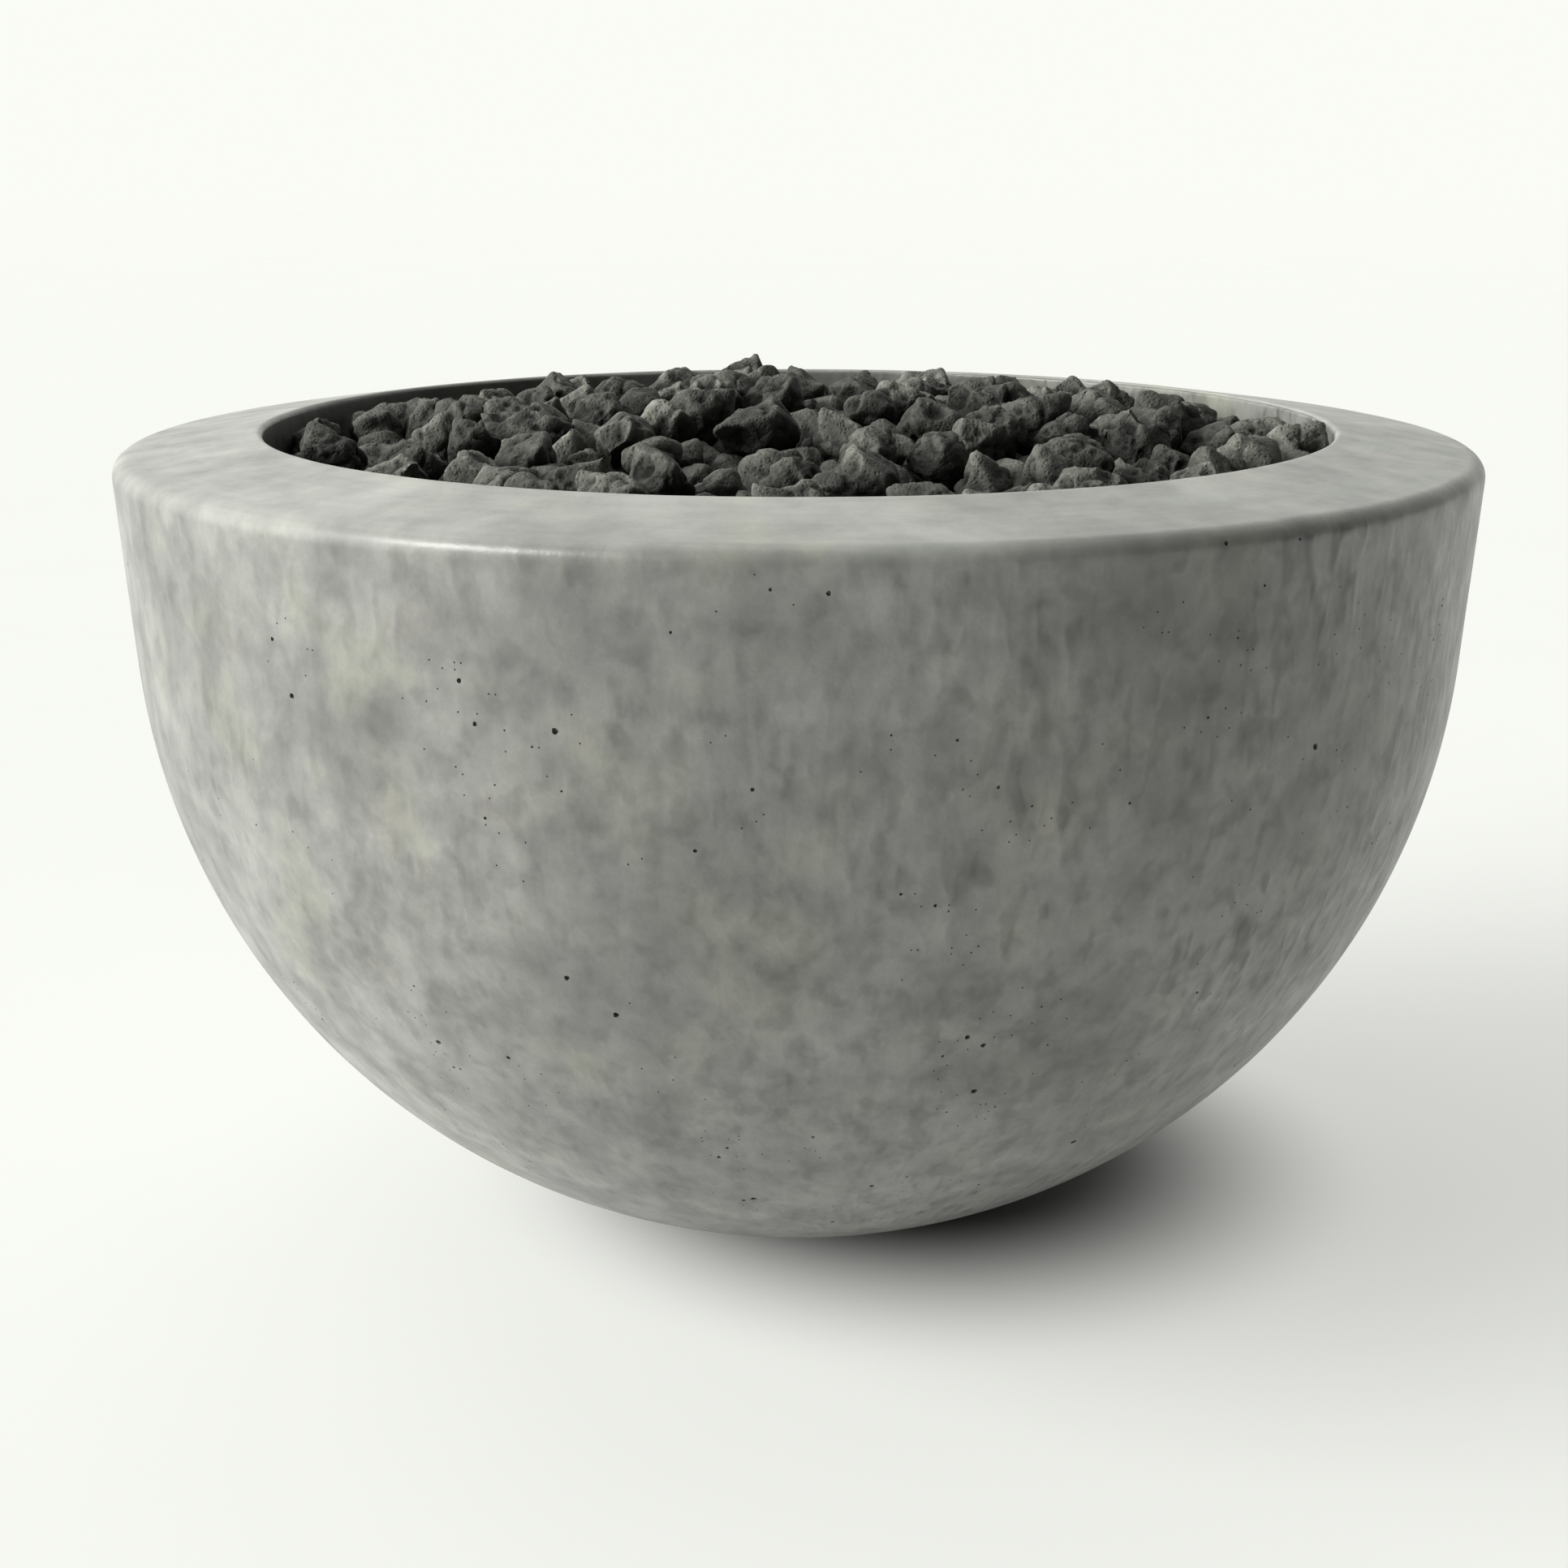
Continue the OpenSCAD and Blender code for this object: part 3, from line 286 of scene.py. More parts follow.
def scatter_pits(run, shows):
    """Air holes in clusters over the wall: the run along the section, the angle and the radius of each."""
    chance = np.random.default_rng(PIT_SEED)
    low, high = run[shows][0], run[shows][-1] - LEDGE_DEPTH - (RIM_R - OPENING_R)
    pits = []
    for _ in range(PIT_CLUSTERS):
        centre = (chance.uniform(low, high), chance.uniform(0, 2 * math.pi))
        for _ in range(chance.integers(*PIT_COUNTS)):
            at = centre[0] + chance.normal(0, PIT_SPREAD)
            turn = centre[1] + chance.normal(0, PIT_SPREAD) / RIM_R
            radius = PIT_RADII[0] + (PIT_RADII[1] - PIT_RADII[0]) * chance.random() ** PIT_RARITY
            if low < at < high:
                pits.append((at, turn % (2 * math.pi), radius))
    return pits


def pit_rings(centre, across, along, normal, angles, radius, chance):
    """The rings of points of an air hole, from its mouth to its floor."""
    wobble = 1 + PIT_WOBBLE * chance.uniform(-1, 1, len(angles))
    rings = []
    for share, depth in PIT_PROFILE:
        reach = radius * share * wobble[:, None]
        ways = np.cos(angles)[:, None] * across + np.sin(angles)[:, None] * along
        rings.append(centre + reach * ways - normal * radius * depth)
    return rings


def pit_faces(edge, first, count):
    """Faces of an air hole: from the edge round it to its mouth, down its sides and over its floor.

    The edge holds the numbers of its points, first is the hole's first point and count the points in a ring.
    """
    faces = []
    for i, here in enumerate(edge):
        there = edge[(i + 1) % len(edge)]
        if count > len(edge):
            a, b, c = (first + (2 * i + k) % count for k in range(3))
            faces += [(here, there, b), (here, b, a), (there, c, b)]
        else:
            faces.append((here, there, first + (i + 1) % count, first + i))
    for depth in range(len(PIT_PROFILE) - 1):
        low = first + depth * count
        for i in range(count):
            j = (i + 1) % count
            faces.append((low + i, low + j, low + count + j, low + count + i))
    floor = first + (len(PIT_PROFILE) - 1) * count
    faces += [(floor + i, floor + (i + 1) % count, floor + count) for i in range(count)]
    return faces


def patch_edge(row, tall, columns):
    """The rows and columns of the grid points round a patch of cells, in order."""
    edge = [(row, c) for c in columns]
    edge += [(row + k, columns[-1]) for k in range(1, tall + 1)]
    edge += [(row + tall, c) for c in columns[-2::-1]]
    edge += [(row + k, columns[0]) for k in range(tall - 1, 0, -1)]
    return edge


def bowl_grid(section, shows):
    """Points of the bowl's surface, ring by ring, with its waves where it shows, and the way each faces."""
    normals = section_normals(section)
    turns = np.arange(AROUND) * 2 * math.pi / AROUND
    spokes = np.stack([np.cos(turns), np.sin(turns)], axis=1)
    grid = np.empty((len(section), AROUND, 3))
    grid[..., :2] = section[:, None, :1] * spokes[None]
    grid[..., 2] = section[:, None, 1]
    facing = np.empty((len(section), AROUND, 3))
    facing[..., :2] = normals[:, None, :1] * spokes[None]
    facing[..., 2] = normals[:, None, 1]
    flat = grid.reshape(-1, 3)
    sink = sum(share * (1 + smooth_noise(flat, size, seed)) for size, share, seed in WAVES)
    sink = WAVE_DEPTH * sink.reshape(len(section), AROUND) * shows[:, None]
    return grid - facing * sink[..., None], facing


def bowl_mesh():
    """Points and faces of the bowl with its air holes, and how deep in a hole each point is, from 0 to 1."""
    section, shows = bowl_section()
    steps = np.linalg.norm(np.roll(section, -1, axis=0) - section, axis=1)
    run = np.concatenate([[0], np.cumsum(steps[:-1])])
    rings = len(section)
    grid, facing = bowl_grid(section, shows)
    points = list(grid.reshape(-1, 3))
    in_pit = [0.0] * len(points)
    taken = np.zeros((rings, AROUND), bool)
    faces = []
    chance = np.random.default_rng(PIT_SEED + 1)
    for at, turn, radius in scatter_pits(run, shows):
        row = int(np.searchsorted(run, at)) - 1
        cell_w = section[row, 0] * 2 * math.pi / AROUND
        wide = max(1, math.ceil(2 * PIT_MARGIN * radius / cell_w))
        tall = max(1, math.ceil(2 * PIT_MARGIN * radius / steps[row]))
        column = int(turn / (2 * math.pi) * AROUND)
        columns = [(column + k) % AROUND for k in range(wide + 1)]
        if row + tall >= rings or not shows[row:row + tall + 1].all():
            continue
        if steps[row:row + tall].min() < steps[row] / 2 or taken[row:row + tall][:, columns[:-1]].any():
            continue
        taken[row:row + tall, columns[:-1]] = True
        edge = patch_edge(row, tall, columns)
        corners = np.array([grid[r, c] for r, c in edge])
        centre = corners.mean(axis=0)
        normal = facing[row + tall // 2, columns[wide // 2]]
        across = np.array([-math.sin(turn), math.cos(turn), 0])
        along = np.cross(normal, across)
        angles = np.arctan2((corners - centre) @ along, (corners - centre) @ across)
        if len(edge) < PIT_FEWEST_SIDES:
            after = np.roll(angles, -1)
            middle = angles + ((after - angles) % (2 * math.pi)) / 2
            angles = np.stack([angles, middle], axis=1).ravel()
        first = len(points)
        count = len(angles)
        for depth, ring in enumerate(pit_rings(centre, across, along, normal, angles, radius, chance)):
            points.extend(ring)
            in_pit.extend([depth / (len(PIT_PROFILE) - 1)] * count)
        points.append(centre - normal * radius * PIT_FLOOR)
        in_pit.append(1.0)
        faces += pit_faces([r * AROUND + c for r, c in edge], first, count)
    for row in range(rings):
        after = (row + 1) % rings
        for column in range(AROUND):
            if not taken[row, column]:
                beside = (column + 1) % AROUND
                faces.append((row * AROUND + column, row * AROUND + beside,
                              after * AROUND + beside, after * AROUND + column))
    used = np.zeros(len(points), bool)
    for face in faces:
        used[list(face)] = True
    number = np.cumsum(used) - 1
    faces = [tuple(int(number[i]) for i in face) for face in faces]
    return np.array(points)[used], faces, np.array(in_pit)[used]


def rod(start, end, radius, sides=96):
    """A closed cylinder between two points, to cut with."""
    start, end = Vector(start), Vector(end)
    turn = (end - start).to_track_quat("Z", "Y")
    ring = [Vector((radius * math.cos(t), radius * math.sin(t), 0))
            for t in np.arange(sides) * 2 * math.pi / sides]
    points = [middle + turn @ p for middle in (start, end) for p in ring]
    faces = [tuple(range(sides - 1, -1, -1)), tuple(range(sides, 2 * sides))]
    faces += [(i, (i + 1) % sides, (i + 1) % sides + sides, i + sides) for i in range(sides)]
    return make_piece("cutter", points, faces, 40)


def cut(piece, cutters):
    """Take the cutters out of the piece."""
    for cutter in cutters:
        step = piece.modifiers.new("cut", "BOOLEAN")
        step.operation = "DIFFERENCE"
        step.solver = "EXACT"
        step.object = cutter
    view = bpy.context.evaluated_depsgraph_get()
    mesh = bpy.data.meshes.new_from_object(piece.evaluated_get(view))
    piece.modifiers.clear()
    piece.data = mesh
    for cutter in cutters:
        bpy.data.objects.remove(cutter)


# Rocks

def unit_ball(subdivisions):
    """Points and triangles of a ball of radius 1."""
    ball = bmesh.new()
    bmesh.ops.create_icosphere(ball, subdivisions=subdivisions, radius=1)
    points = np.array([v.co for v in ball.verts])
    faces = np.array([[v.index for v in f.verts] for f in ball.faces])
    ball.free()
    return points / np.linalg.norm(points, axis=1)[:, None], faces


def loose_parts(node):
    """The separate solids of a CAD node: the corners of each, and the normal and one corner of each face."""
    mesh = bmesh.new()
    mesh.from_mesh(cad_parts[node].data)
    bmesh.ops.remove_doubles(mesh, verts=mesh.verts, dist=1e-6)
    mesh.verts.index_update()
    seen = set()
    parts = []
    for start in mesh.verts:
        if start.index in seen:
            continue
        group, queue = [], [start]
        seen.add(start.index)
        while queue:
            vert = queue.pop()
            group.append(vert)
            for edge in vert.link_edges:
                other = edge.other_vert(vert)
                if other.index not in seen:
                    seen.add(other.index)
                    queue.append(other)
        sides = {f for v in group for f in v.link_faces}
        faces = sorted((tuple(f.normal), tuple(f.verts[0].co)) for f in sides)
        parts.append((np.array([v.co for v in group]), np.array(faces)))
    mesh.free()
    return parts


def rock_solids(node):
    """The middle, and the planes of the faces, of each loose rock in a CAD node."""
    rocks = []
    for corners, faces in loose_parts(node):
        middle = (corners.min(axis=0) + corners.max(axis=0)) / 2
        planes = {}
        for normal, corner in faces:
            planes[tuple(np.round(normal, 1))] = (*normal, normal @ (corner - middle))
        rocks.append((middle, np.array(list(planes.values()))))
    return rocks


def scoop(points, ways, size, chance):
    """Push the points of a rock out of a ball that bites into one of its sides."""
    way = chance.normal(size=3)
    way /= np.linalg.norm(way)
    reach = np.linalg.norm(points[(ways @ way).argmax()])
    radius = size * chance.uniform(*SCOOP_RADII)
    heart = way * (reach + radius - size * chance.uniform(*SCOOP_DEPTHS))
    gap = points - heart
    far = np.linalg.norm(gap, axis=1)
    inside = far < radius
    points[inside] = heart + gap[inside] / far[inside][:, None] * radius


def rock_points(middle, planes, ways, chance, seed):
    """Points of one lump of lava: the rock's rounded planes, with scooped faces, creases and open bubbles."""
    edge = chance.uniform(*ROCK_EDGES)
    toward = np.maximum(ways @ planes[:, :3].T, 0) / planes[:, 3]
    reach = ROCK_FILL * (toward ** edge).sum(axis=1) ** (-1 / edge)
    size = reach.mean()
    points = ways * reach[:, None]
    points *= (1 + ROCK_WARP * smooth_noise(points + middle, ROCK_WARP_SIZE, seed + 3))[:, None]
    for _ in range(chance.integers(*SCOOP_COUNTS)):
        scoop(points, ways, size, chance)
    place = points + middle
    rough = BUMP_DEPTHS[0] * smooth_noise(place, BUMP_SIZES[0], seed)
    rough += BUMP_DEPTHS[1] * smooth_noise(place, BUMP_SIZES[1], seed + 1)
    rough -= CREASE_DEPTH * (1 - np.abs(smooth_noise(place, CREASE_SIZE, seed + 4))) ** CREASE_SHARPNESS
    broken = np.clip(0.4 + 1.6 * smooth_noise(place, BUBBLE_PATCH_SIZE, seed + 5), 0, 1)
    bubbles = np.clip(1 - hole_distance(place, BUBBLE_SPACING, seed + 2) / BUBBLE_REACH, 0, 1)
    rough -= BUBBLE_DEPTH * broken * np.sqrt(bubbles)
    return place + ways * rough[:, None]


def neighbours(triangles, count):
    """The points next to each point of a ball; where there are five, the first stands in for a sixth."""
    beside = [[] for _ in range(count)]
    for a, b, c in triangles:
        beside[a].append(b)
        beside[b].append(c)
        beside[c].append(a)
    return np.array([(row + row[:1])[:6] for row in beside])


def rock_tones_and_shade(points, beside, tone):
    """Tones of a rock's points: paler on its upper side and its ridges, darker low down and in hollows. The
    darkening low down and in hollows is painted shade, and the paler ridges are partly dust and partly
    painted highlight.
    """
    smooth = points
    for _ in range(RIDGE_REACH):
        smooth = smooth[beside].mean(axis=1)
    outward = points - points.mean(axis=0)
    outward /= np.linalg.norm(outward, axis=1)[:, None]
    ridge = np.clip(((points - smooth) * outward).sum(axis=1) / RIDGE_HEIGHT, -1, 1)
    height = (points[:, 2] - points[:, 2].min()) / np.ptp(points[:, 2])
    # Painted shade low down and in hollows; paler ridges partly dust and partly painted highlight
    return tone * (1 + RIDGE_DUST_AND_SHADE_SHARE * ridge) * np.interp(height, (0.3, 0.9), (LOW_PAINTED_SHADE, 1.0))


def rock_piece(name, node, subdivisions, seed):
    """All the loose rocks of a CAD node as lumps of lava, each with a tone of its own and painted shade low
    down and in its hollows, in one piece.
    """
    ways, triangles = unit_ball(subdivisions)
    beside = neighbours(triangles, len(ways))
    chance = np.random.default_rng(seed)
    points, faces, tones_and_shade = [], [], []
    for number, (middle, planes) in enumerate(rock_solids(node)):
        faces.append(triangles + number * len(ways))
        points.append(rock_points(middle, planes, ways, chance, seed))
        tone = ROCK_TONES[0] + (ROCK_TONES[1] - ROCK_TONES[0]) * chance.random() ** 2
        tones_and_shade.append(rock_tones_and_shade(points[-1], beside, tone))
    piece = make_piece(name, np.concatenate(points), np.concatenate(faces).tolist(), 180)
    mark = piece.data.attributes.new("rock_tone_and_shade", "FLOAT", "POINT")
    mark.data.foreach_set("value", np.concatenate(tones_and_shade))
    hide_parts(node)
    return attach(piece, "root")


# Materials

class Nodes:
    """A node tree, with short ways to add and join its nodes."""

    def __init__(self, tree):
        self.tree = tree

    def add(self, kind, inputs=None, output=0, **settings):
        """Add a node with its settings, set or link its inputs, and return one of its outputs."""
        node = self.tree.nodes.new(kind)
        for key, value in settings.items():
            setattr(node, key, value)
        for key, value in (inputs or {}).items():
            self.put(node, key, value)
        return node.outputs[output]

    def put(self, node, key, value):
        """Link a socket, or set its value."""
        if isinstance(value, bpy.types.NodeSocket):
            self.tree.links.new(value, node.inputs[key])
        else:
            node.inputs[key].default_value = value

    def stretched(self, source, scale):
        """Coordinates scaled differently along each axis."""
        return self.add("ShaderNodeMapping", {"Vector": source, "Scale": scale})

    def noise(self, source, scale, detail=4.0, rough=0.55, warp=0.0):
        """Noise from 0 to 1, finer at a larger scale."""
        return self.add("ShaderNodeTexNoise", {"Vector": source, "Scale": scale, "Detail": detail,
                                               "Roughness": rough, "Distortion": warp})

    def ramp(self, source, low, high, start=0.0, end=1.0, ease="LINEAR"):
        """Carry a value from one range to another, without going past its ends."""
        return self.add("ShaderNodeMapRange", {"Value": source, "From Min": low, "From Max": high,
                                               "To Min": start, "To Max": end}, interpolation_type=ease)

    def times(self, a, b):
        """Multiply two values."""
        return self.add("ShaderNodeMath", {0: a, 1: b}, operation="MULTIPLY")

    def mix(self, share, a, b, kind="MIX"):
        """Mix two colours."""
        node = self.tree.nodes.new("ShaderNodeMix")
        node.data_type = "RGBA"
        node.blend_type = kind
        self.put(node, 0, share)
        self.put(node, 6, a)
        self.put(node, 7, b)
        return node.outputs[2]

    def bump(self, height, depth, under=None):
        """A bump of the given depth in metres, over another one if there is one."""
        inputs = {"Height": height, "Distance": depth, "Strength": 1.0}
        if under is not None:
            inputs["Normal"] = under
        return self.add("ShaderNodeBump", inputs)


class Finish(Nodes):
    """A material and its node tree."""

    def __init__(self, name):
        self.material = bpy.data.materials.new(name)
        self.material.use_nodes = True
        super().__init__(self.material.node_tree)
        self.shader = self.tree.nodes["Principled BSDF"]

    def set(self, **values):
        """Set or link the shader's own sockets; an underscore stands for a space."""
        for key, value in values.items():
            self.put(self.shader, key.replace("_", " "), value)

    def place(self):
        """Coordinates in metres, fixed to the object."""
        return self.add("ShaderNodeTexCoord", output="Object")

    def mark(self, name, output="Fac"):
        """A value that the mesh holds at its points."""
        return self.add("ShaderNodeAttribute", output=output, attribute_name=name)


def grey(value):
    """A colour of equal red, green and blue."""
    return (value, value, value, 1.0)


def concrete():
    """Sealed cast concrete: cloudy greys, smudges drawn down the mould, heavier on the right where they also
    paint shade, a paler trowelled rim whose paleness is partly painted light on its top, air holes with
    painted shade inside.
    """
    f = Finish("cast_concrete")
    at = f.place()
    cast = f.mark("cast_space", "Vector")
    painted_pit_shade = f.mark("in_pit")
    rim = f.mark("on_rim")
    side = f.add("ShaderNodeSeparateXYZ", {"Vector": at}, output="X")
    wall = f.ramp(rim, 0.0, 1.0, 1.0, 0.0)
    clouds = f.noise(at, 6.0, 3.0)
    patches = f.noise(at, 9.0, 2.0)
    mottle = f.noise(at, 30.0, 5.0, 0.6, 0.1)
    blots = f.noise(f.stretched(cast, (55.0, 55.0, 42.0)), 1.0, 2.0, 0.5, 0.3)
    drawn = f.noise(f.stretched(cast, (85.0, 85.0, 36.0)), 1.0, 1.0, 0.4, 0.3)
    runs = f.noise(f.stretched(cast, (30.0, 30.0, 5.0)), 1.0, 1.0)
    trowel = f.noise(f.stretched(cast, (7.0, 7.0, 130.0)), 1.0, 4.0, 0.6)
    grain = f.noise(at, 420.0, 2.0)
    # Smudges and dents drawn down the mould, weighted to the right side; the darkening they give there is
    # partly painted shade on the side away from the light
    smudging_and_right_shade = f.times(f.ramp(patches, 0.38, 0.58, 0.3, 1.0), f.ramp(side, -0.05, 0.22, 0.3, 1.0))
    smudging_and_right_shade = f.times(smudging_and_right_shade, f.times(wall, f.ramp(side, 0.3, 0.44, 1.0, 0.35)))
    mottled = f.times(f.ramp(mottle, 0.34, 0.66), f.ramp(wall, 0.0, 1.0, 0.6, 1.0))
    streaked = f.times(f.ramp(runs, 0.45, 0.65), f.ramp(side, -0.2, 0.1, 0.7, 0.2))
    spotted = f.times(f.ramp(blots, 0.5, 0.7), f.ramp(side, -0.3, 0.1, 0.5, 0.9))

    def shaded(colour, share, value):
        return f.mix(share, colour, f.mix(1.0, colour, grey(value), "MULTIPLY"))

    colour = f.mix(f.ramp(clouds, 0.3, 0.7), CONCRETE_DARK, CONCRETE_PALE)
    colour = shaded(colour, f.ramp(patches, 0.35, 0.65), 1.14)
    colour = shaded(colour, mottled, 1.5)
    colour = shaded(colour, streaked, 0.82)
    colour = shaded(colour, f.times(spotted, wall), 0.66)
    # Drawn smudges, heavier on the right: partly painted shade
    colour = shaded(colour, f.times(f.ramp(drawn, 0.54, 0.7), smudging_and_right_shade), 0.55)
    # The rim's paleness is partly its trowelled finish and partly painted light on its top
    colour = shaded(colour, f.times(rim, f.ramp(trowel, 0.3, 0.7, 0.55, 1.0)), 1.52)
    for scale, tint in CONCRETE_TINTS:
        share = f.ramp(f.noise(at, scale, 3.0), 0.54, 0.7, 0.0, 0.4)
        colour = f.mix(share, colour, f.mix(1.0, colour, tint, "MULTIPLY"))
    colour = shaded(colour, f.ramp(grain, 0.3, 0.7), 0.94)
    # Painted shade inside the air holes
    colour = shaded(colour, painted_pit_shade, 0.22)
    f.set(Base_Color=colour)
    f.set(Roughness=f.ramp(mottle, 0.3, 0.7, 0.4, 0.3))
    low = f.bump(mottle, 0.0006)
    low = f.bump(f.times(drawn, smudging_and_right_shade), 0.0018, low)
    f.set(Normal=f.bump(grain, 0.00007, low))
    f.set(Specular_IOR_Level=0.5)
    return f.material


def lava():
    """Black lava: charcoal grey, with small open bubbles; its raised parts are paler, partly dust and partly
    painted highlight, and its low parts, hollows and bubbles hold painted shade.
    """
    f = Finish("lava_rock")
    at = f.place()
    tone = f.mark("rock_tone_and_shade")
    wide = f.noise(at, 45.0, 4.0)
    fine = f.noise(at, 260.0, 5.0, 0.65)
    cells = f.add("ShaderNodeTexVoronoi", {"Vector": at, "Scale": 380.0}, output="Distance")
    colour = f.mix(f.ramp(wide, 0.3, 0.7), LAVA_DARK, LAVA_PALE)
    colour = f.mix(f.ramp(fine, 0.5, 0.8), colour, LAVA_DUST)
    # Painted shade in the small bubble pits that the bump sinks
    colour = f.mix(f.ramp(cells, 0.0, 0.35, 0.7, 0.0), colour, LAVA_BUBBLE_SHADE)
    # The rock tone mark carries painted shade and painted highlight as well as each rock's own tone
    shade = f.add("ShaderNodeCombineColor", {"Red": tone, "Green": tone, "Blue": tone})
    f.set(Base_Color=f.mix(1.0, colour, shade, "MULTIPLY"))
    f.set(Roughness=f.ramp(fine, 0.3, 0.7, 0.55, 0.85))
    f.set(Specular_IOR_Level=0.25)
    low = f.bump(fine, 0.0011)
    f.set(Normal=f.bump(f.ramp(cells, 0.0, 0.5), 0.0006, low))
    return f.material


def brushed(name, colour, roughness):
    """Metal with fine brush lines and a little unevenness."""
    f = Finish(name)
    at = f.place()
    lines = f.noise(f.stretched(at, (60.0, 60.0, 2600.0)), 1.0, 2.0)
    cloud = f.noise(at, 25.0, 3.0)
    darker = tuple(0.72 * c for c in colour) + (1,)
    f.set(Base_Color=f.mix(f.ramp(cloud, 0.3, 0.7), darker, (*colour, 1)))
    f.set(Metallic=1.0)
    f.set(Roughness=f.ramp(lines, 0.3, 0.7, roughness - 0.08, roughness + 0.1))
    f.set(Normal=f.bump(lines, 0.00003))
    return f.material


def moulded(name, colour, roughness, grain_scale):
    """Rubber or plastic with a fine moulded grain."""
    f = Finish(name)
    at = f.place()
    grain = f.noise(at, grain_scale, 3.0)
    cloud = f.noise(at, 40.0, 3.0)
    lighter = tuple(min(1.0, 1.35 * c) for c in colour) + (1,)
    f.set(Base_Color=f.mix(f.ramp(cloud, 0.3, 0.7), (*colour, 1), lighter))
    f.set(Roughness=f.ramp(grain, 0.3, 0.7, roughness - 0.07, roughness + 0.07))
    f.set(Normal=f.bump(grain, 0.00006))
    return f.material


def paint(material, nodes):
    """Give the CAD nodes a material."""
    for name in nodes:
        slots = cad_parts[name].data.materials
        slots.clear()
        slots.append(material)


# Camera and stage

def make_camera():
    """The camera, at its fitted place and angle."""
    data = bpy.data.cameras.new("camera")
    data.sensor_width = SENSOR
    data.lens = FOCAL_PIXELS / IMAGE_SIZE * SENSOR
    camera = bpy.data.objects.new("camera", data)
    camera.location = CAMERA_PLACE
    camera.rotation_euler = (math.pi / 2 - CAMERA_DOWN, 0, CAMERA_YAW)
    bpy.context.scene.collection.objects.link(camera)
    bpy.context.scene.camera = camera


def make_floor():
    """A wide, pale, flat floor that glows, with a painted shadow where the glow dims near the bowl's foot,
    and fades out far away.
    """
    half = FLOOR_HALF
    floor = make_piece("floor", [(-half, -half, 0), (half, -half, 0), (half, half, 0), (-half, half, 0)],
                       [(0, 1, 2, 3)], 60)
    f = Finish("studio_floor")
    at = f.place()
    dark, pale = FLOOR_GREYS
    f.set(Base_Color=f.mix(f.ramp(f.noise(at, 3.0), 0.3, 0.7), grey(dark), grey(pale)))
    away = f.add("ShaderNodeVectorMath", {0: at}, output="Value", operation="LENGTH")
    f.set(Alpha=f.ramp(away, *FLOOR_FADE, 1.0, 0.0))
    # Painted shadow: the floor's glow fades towards a spot near the bowl's foot
    off_painted_shadow = f.add("ShaderNodeVectorMath", {0: at, 1: PAINTED_SHADOW_CENTRE}, output="Value", operation="DISTANCE")
    f.set(Emission_Color=(*LIGHT_TINT, 1))
    f.set(Emission_Strength=f.ramp(off_painted_shadow, *PAINTED_SHADOW_SPAN, 0.0, FLOOR_GLOW, "SMOOTHSTEP"))
    f.set(Roughness=0.9)
    f.set(Specular_IOR_Level=0.0)
    floor.data.materials.append(f.material)


def make_light(name, toward, softness, strength, matt, gloss):
    """A soft light from far away, from the given direction, for matt shading, gloss or both."""
    data = bpy.data.lights.new(name, "SUN")
    data.angle = math.radians(softness)
    data.energy = strength
    data.color = LIGHT_TINT
    light = bpy.data.objects.new(name, data)
    light.rotation_euler = Vector(toward).to_track_quat("Z", "Y").to_euler()
    light.visible_diffuse = matt
    light.visible_glossy = gloss
    bpy.context.scene.collection.objects.link(light)


def make_world():
    """A soft surround: bright behind the bowl and to its left, dark in front, pale along the horizon."""
    world = bpy.data.worlds.new("studio")
    world.use_nodes = True
    w = Nodes(world.node_tree)
    way = w.add("ShaderNodeTexCoord", output="Generated")
    behind = w.add("ShaderNodeVectorMath", {0: way, 1: SURROUND_BRIGHT_SIDE}, output="Value",
                   operation="DOT_PRODUCT")
    height = w.add("ShaderNodeSeparateXYZ", {"Vector": way}, output="Z")
    glow = w.ramp(behind, *SURROUND_SPAN, *SURROUND_LIGHT)
    horizon = w.ramp(height, *HORIZON_BAND, 1.0, 0.0)
    back = world.node_tree.nodes["Background"]
    back.inputs["Color"].default_value = (*LIGHT_TINT, 1)
    w.put(back, "Strength", w.ramp(horizon, 0.0, 1.0, glow, HORIZON_GLOW))
    bpy.context.scene.world = world


# The bowl

def bowl_cutters():
    """Rods to cut out of the bowl: the key's pocket, the way through the wall, seats of pads and plugs."""
    cover_low, cover_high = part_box("cover_ring")
    sleeve_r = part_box("wall_sleeve")[1].x
    nut_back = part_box("wall_nut")[1].y
    axis_z = (cover_low.z + cover_high.z) / 2
    cutters = [
        rod((0, cover_low.y, axis_z), (0, RIM_R, axis_z), POCKET_R),
        rod((0, OPENING_R / 2, axis_z), (0, RIM_R, axis_z), sleeve_r + SEAT_GAP),
        rod((0, OPENING_R / 2, axis_z), (0, nut_back, axis_z), SPOT_FACE_R),
    ]
    for corners, _ in loose_parts("wall_plugs"):
        low, high = corners.min(axis=0), corners.max(axis=0)
        x, z = (low[0] + high[0]) / 2, (low[2] + high[2]) / 2
        cutters.append(rod((x, low[1], z), (x, RIM_R, z), (high[0] - low[0]) / 2 + SEAT_GAP, 32))
    for corners, _ in loose_parts("foot_pads"):
        low, high = corners.min(axis=0), corners.max(axis=0)
        x, y = (low[0] + high[0]) / 2, (low[1] + high[1]) / 2
        cutters.append(rod((x, y, -FOOT_Z), (x, y, high[2]), (high[0] - low[0]) / 2 + SEAT_GAP, 64))
    return cutters


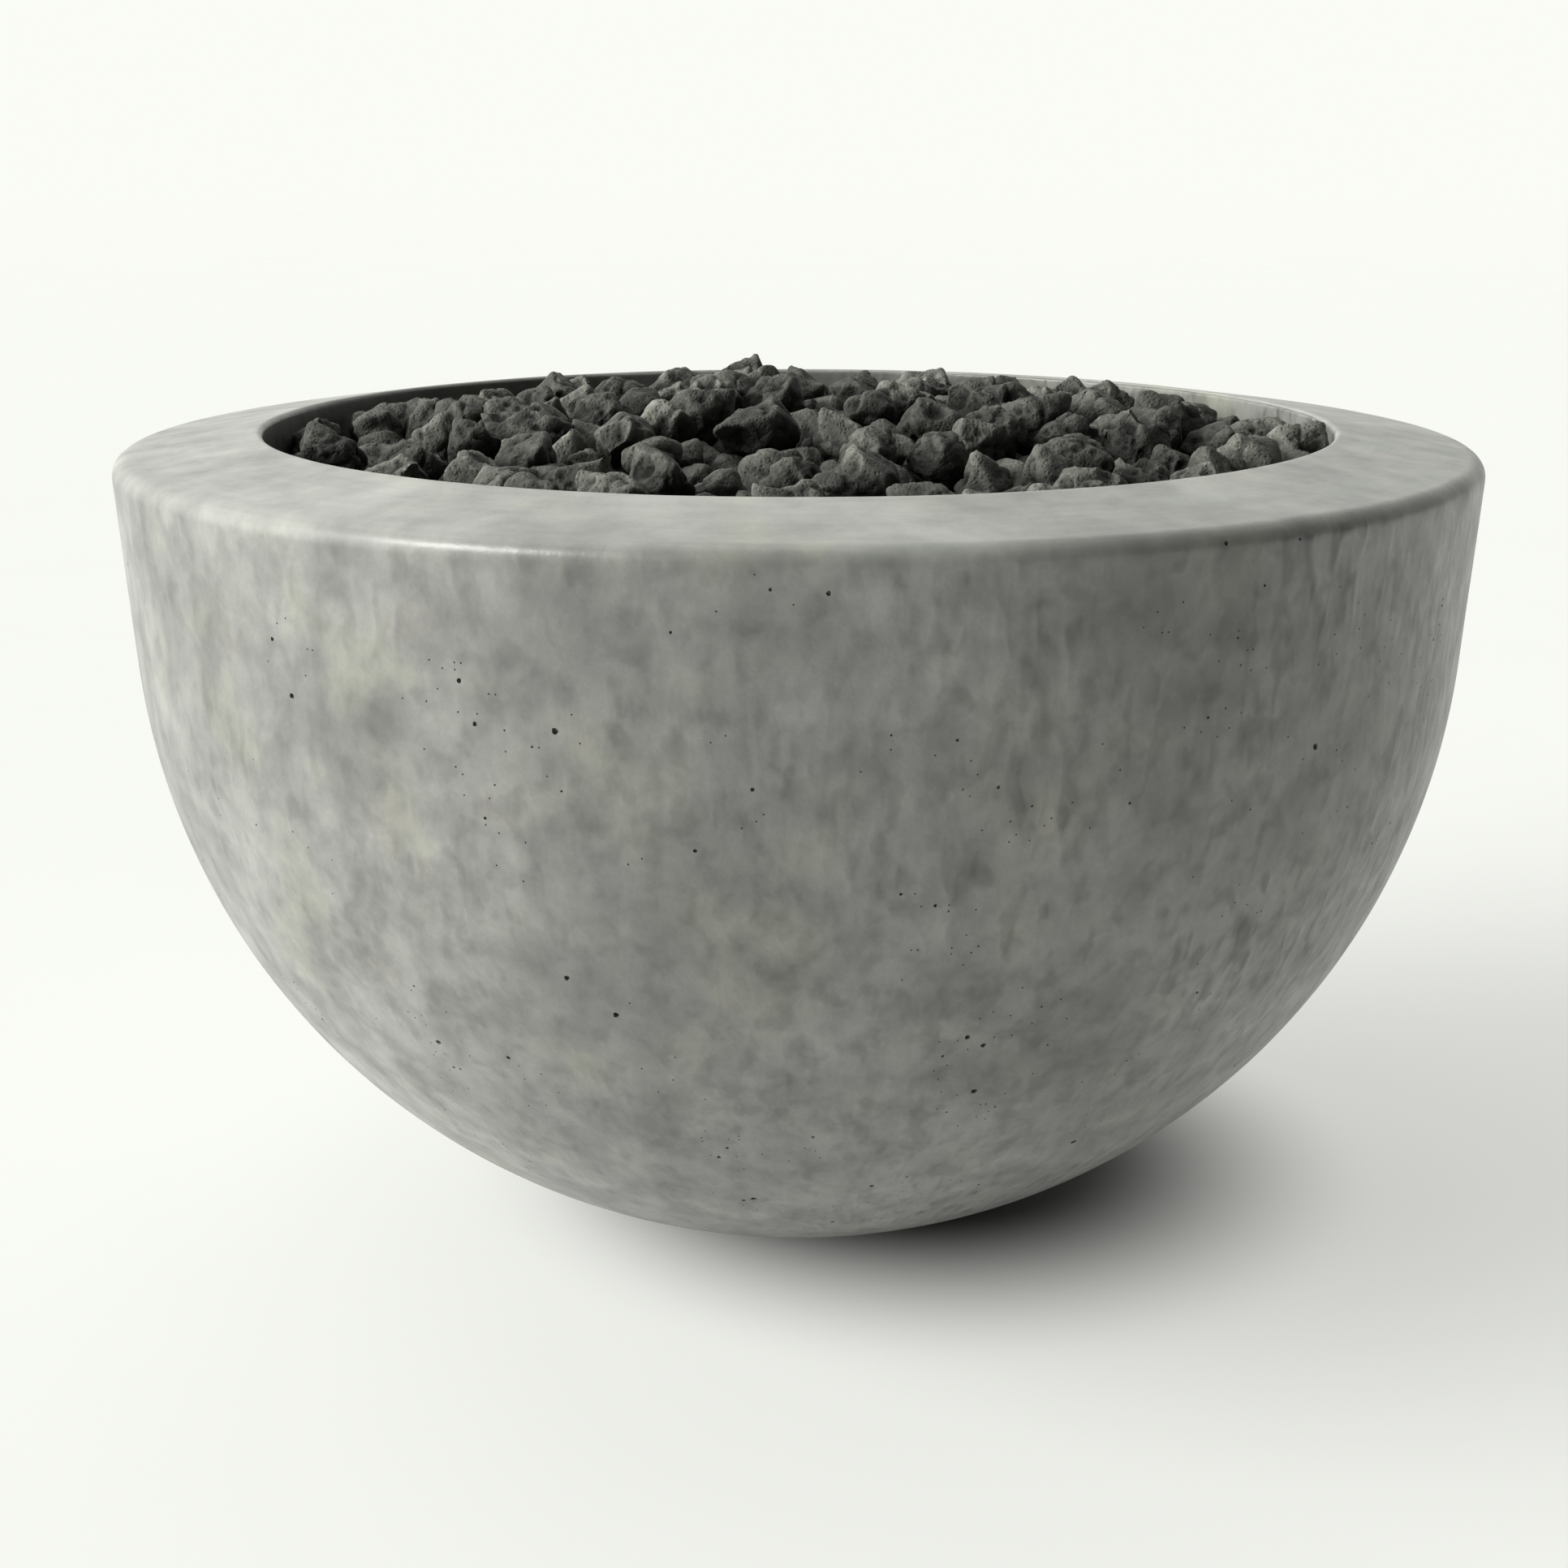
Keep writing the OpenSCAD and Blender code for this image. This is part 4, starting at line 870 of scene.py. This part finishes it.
def make_bowl():
    """The concrete bowl, with the marks that its material reads."""
    points, faces, in_pit = bowl_mesh()
    bowl = make_piece("concrete_bowl", points, faces, BOWL_SMOOTH_ANGLE)
    mark = bowl.data.attributes.new("in_pit", "FLOAT", "POINT")
    mark.data.foreach_set("value", in_pit)
    round_way = np.hypot(points[:, 0], points[:, 1])
    on_rim = np.clip((points[:, 2] - RIM_Z + RIM_DROP) / OUTER_ROUND + 1, 0, 1)
    on_rim *= round_way > OPENING_R + INNER_ROUND / 4
    run = points[:, 2] + round_way + 2 * on_rim * (RIM_R - round_way)
    space = np.stack([points[:, 0] / round_way * RIM_R, points[:, 1] / round_way * RIM_R, run], axis=1)
    mark = bowl.data.attributes.new("on_rim", "FLOAT", "POINT")
    mark.data.foreach_set("value", on_rim)
    mark = bowl.data.attributes.new("cast_space", "FLOAT_VECTOR", "POINT")
    mark.data.foreach_set("vector", space.ravel())
    cut(bowl, bowl_cutters())
    bowl.data.materials.clear()
    bowl.data.materials.append(concrete())
    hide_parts("bowl_shell")
    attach(bowl, "root")


# The scene

bpy.context.scene.view_settings.view_transform = "Standard"
make_camera()
make_floor()
make_world()
for light in LIGHTS:
    make_light(*light)
make_bowl()
rock_look = lava()
for name, node, detail in ROCK_LAYERS:
    rock_piece(name, node, detail, ROCK_SEED + detail).data.materials.append(rock_look)

# Finishes of the parts that keep their CAD shape

paint(moulded("rock_dust", (0.008, 0.008, 0.008), 0.88, 300.0), ["lava_bed"])
paint(brushed("stainless", (0.6, 0.6, 0.59), 0.32),
      ["burner_pan", "burner_outer_ring", "burner_inner_ring", "burner_outer_spokes", "burner_inner_spokes",
       "burner_hub", "burner_feet", "foot_screws", "feed_nipple", "pan_washers", "pan_locknuts",
       "air_shutter", "wall_sleeve", "cover_ring", "shutter_screw", "gas_hose", "wall_nut"])
paint(brushed("screw_steel", (0.32, 0.32, 0.33), 0.28), ["cover_screws"])
paint(brushed("brass", (0.62, 0.44, 0.18), 0.3),
      ["air_mixer", "gas_orifice", "mixer_hose_nut", "valve_hose_nut", "valve_body", "valve_plug",
       "valve_cap", "supply_nut", "inlet_fitting"])
paint(brushed("chrome", (0.75, 0.75, 0.76), 0.12), ["valve_key"])
paint(moulded("pipe_paint", (0.05, 0.05, 0.052), 0.5, 900.0), ["supply_pipe"])
paint(moulded("rubber", (0.015, 0.015, 0.015), 0.75, 1200.0), ["foot_pads", "stem_seals"])
paint(moulded("nylon", (0.3, 0.31, 0.32), 0.5, 1500.0), ["wall_plugs"])
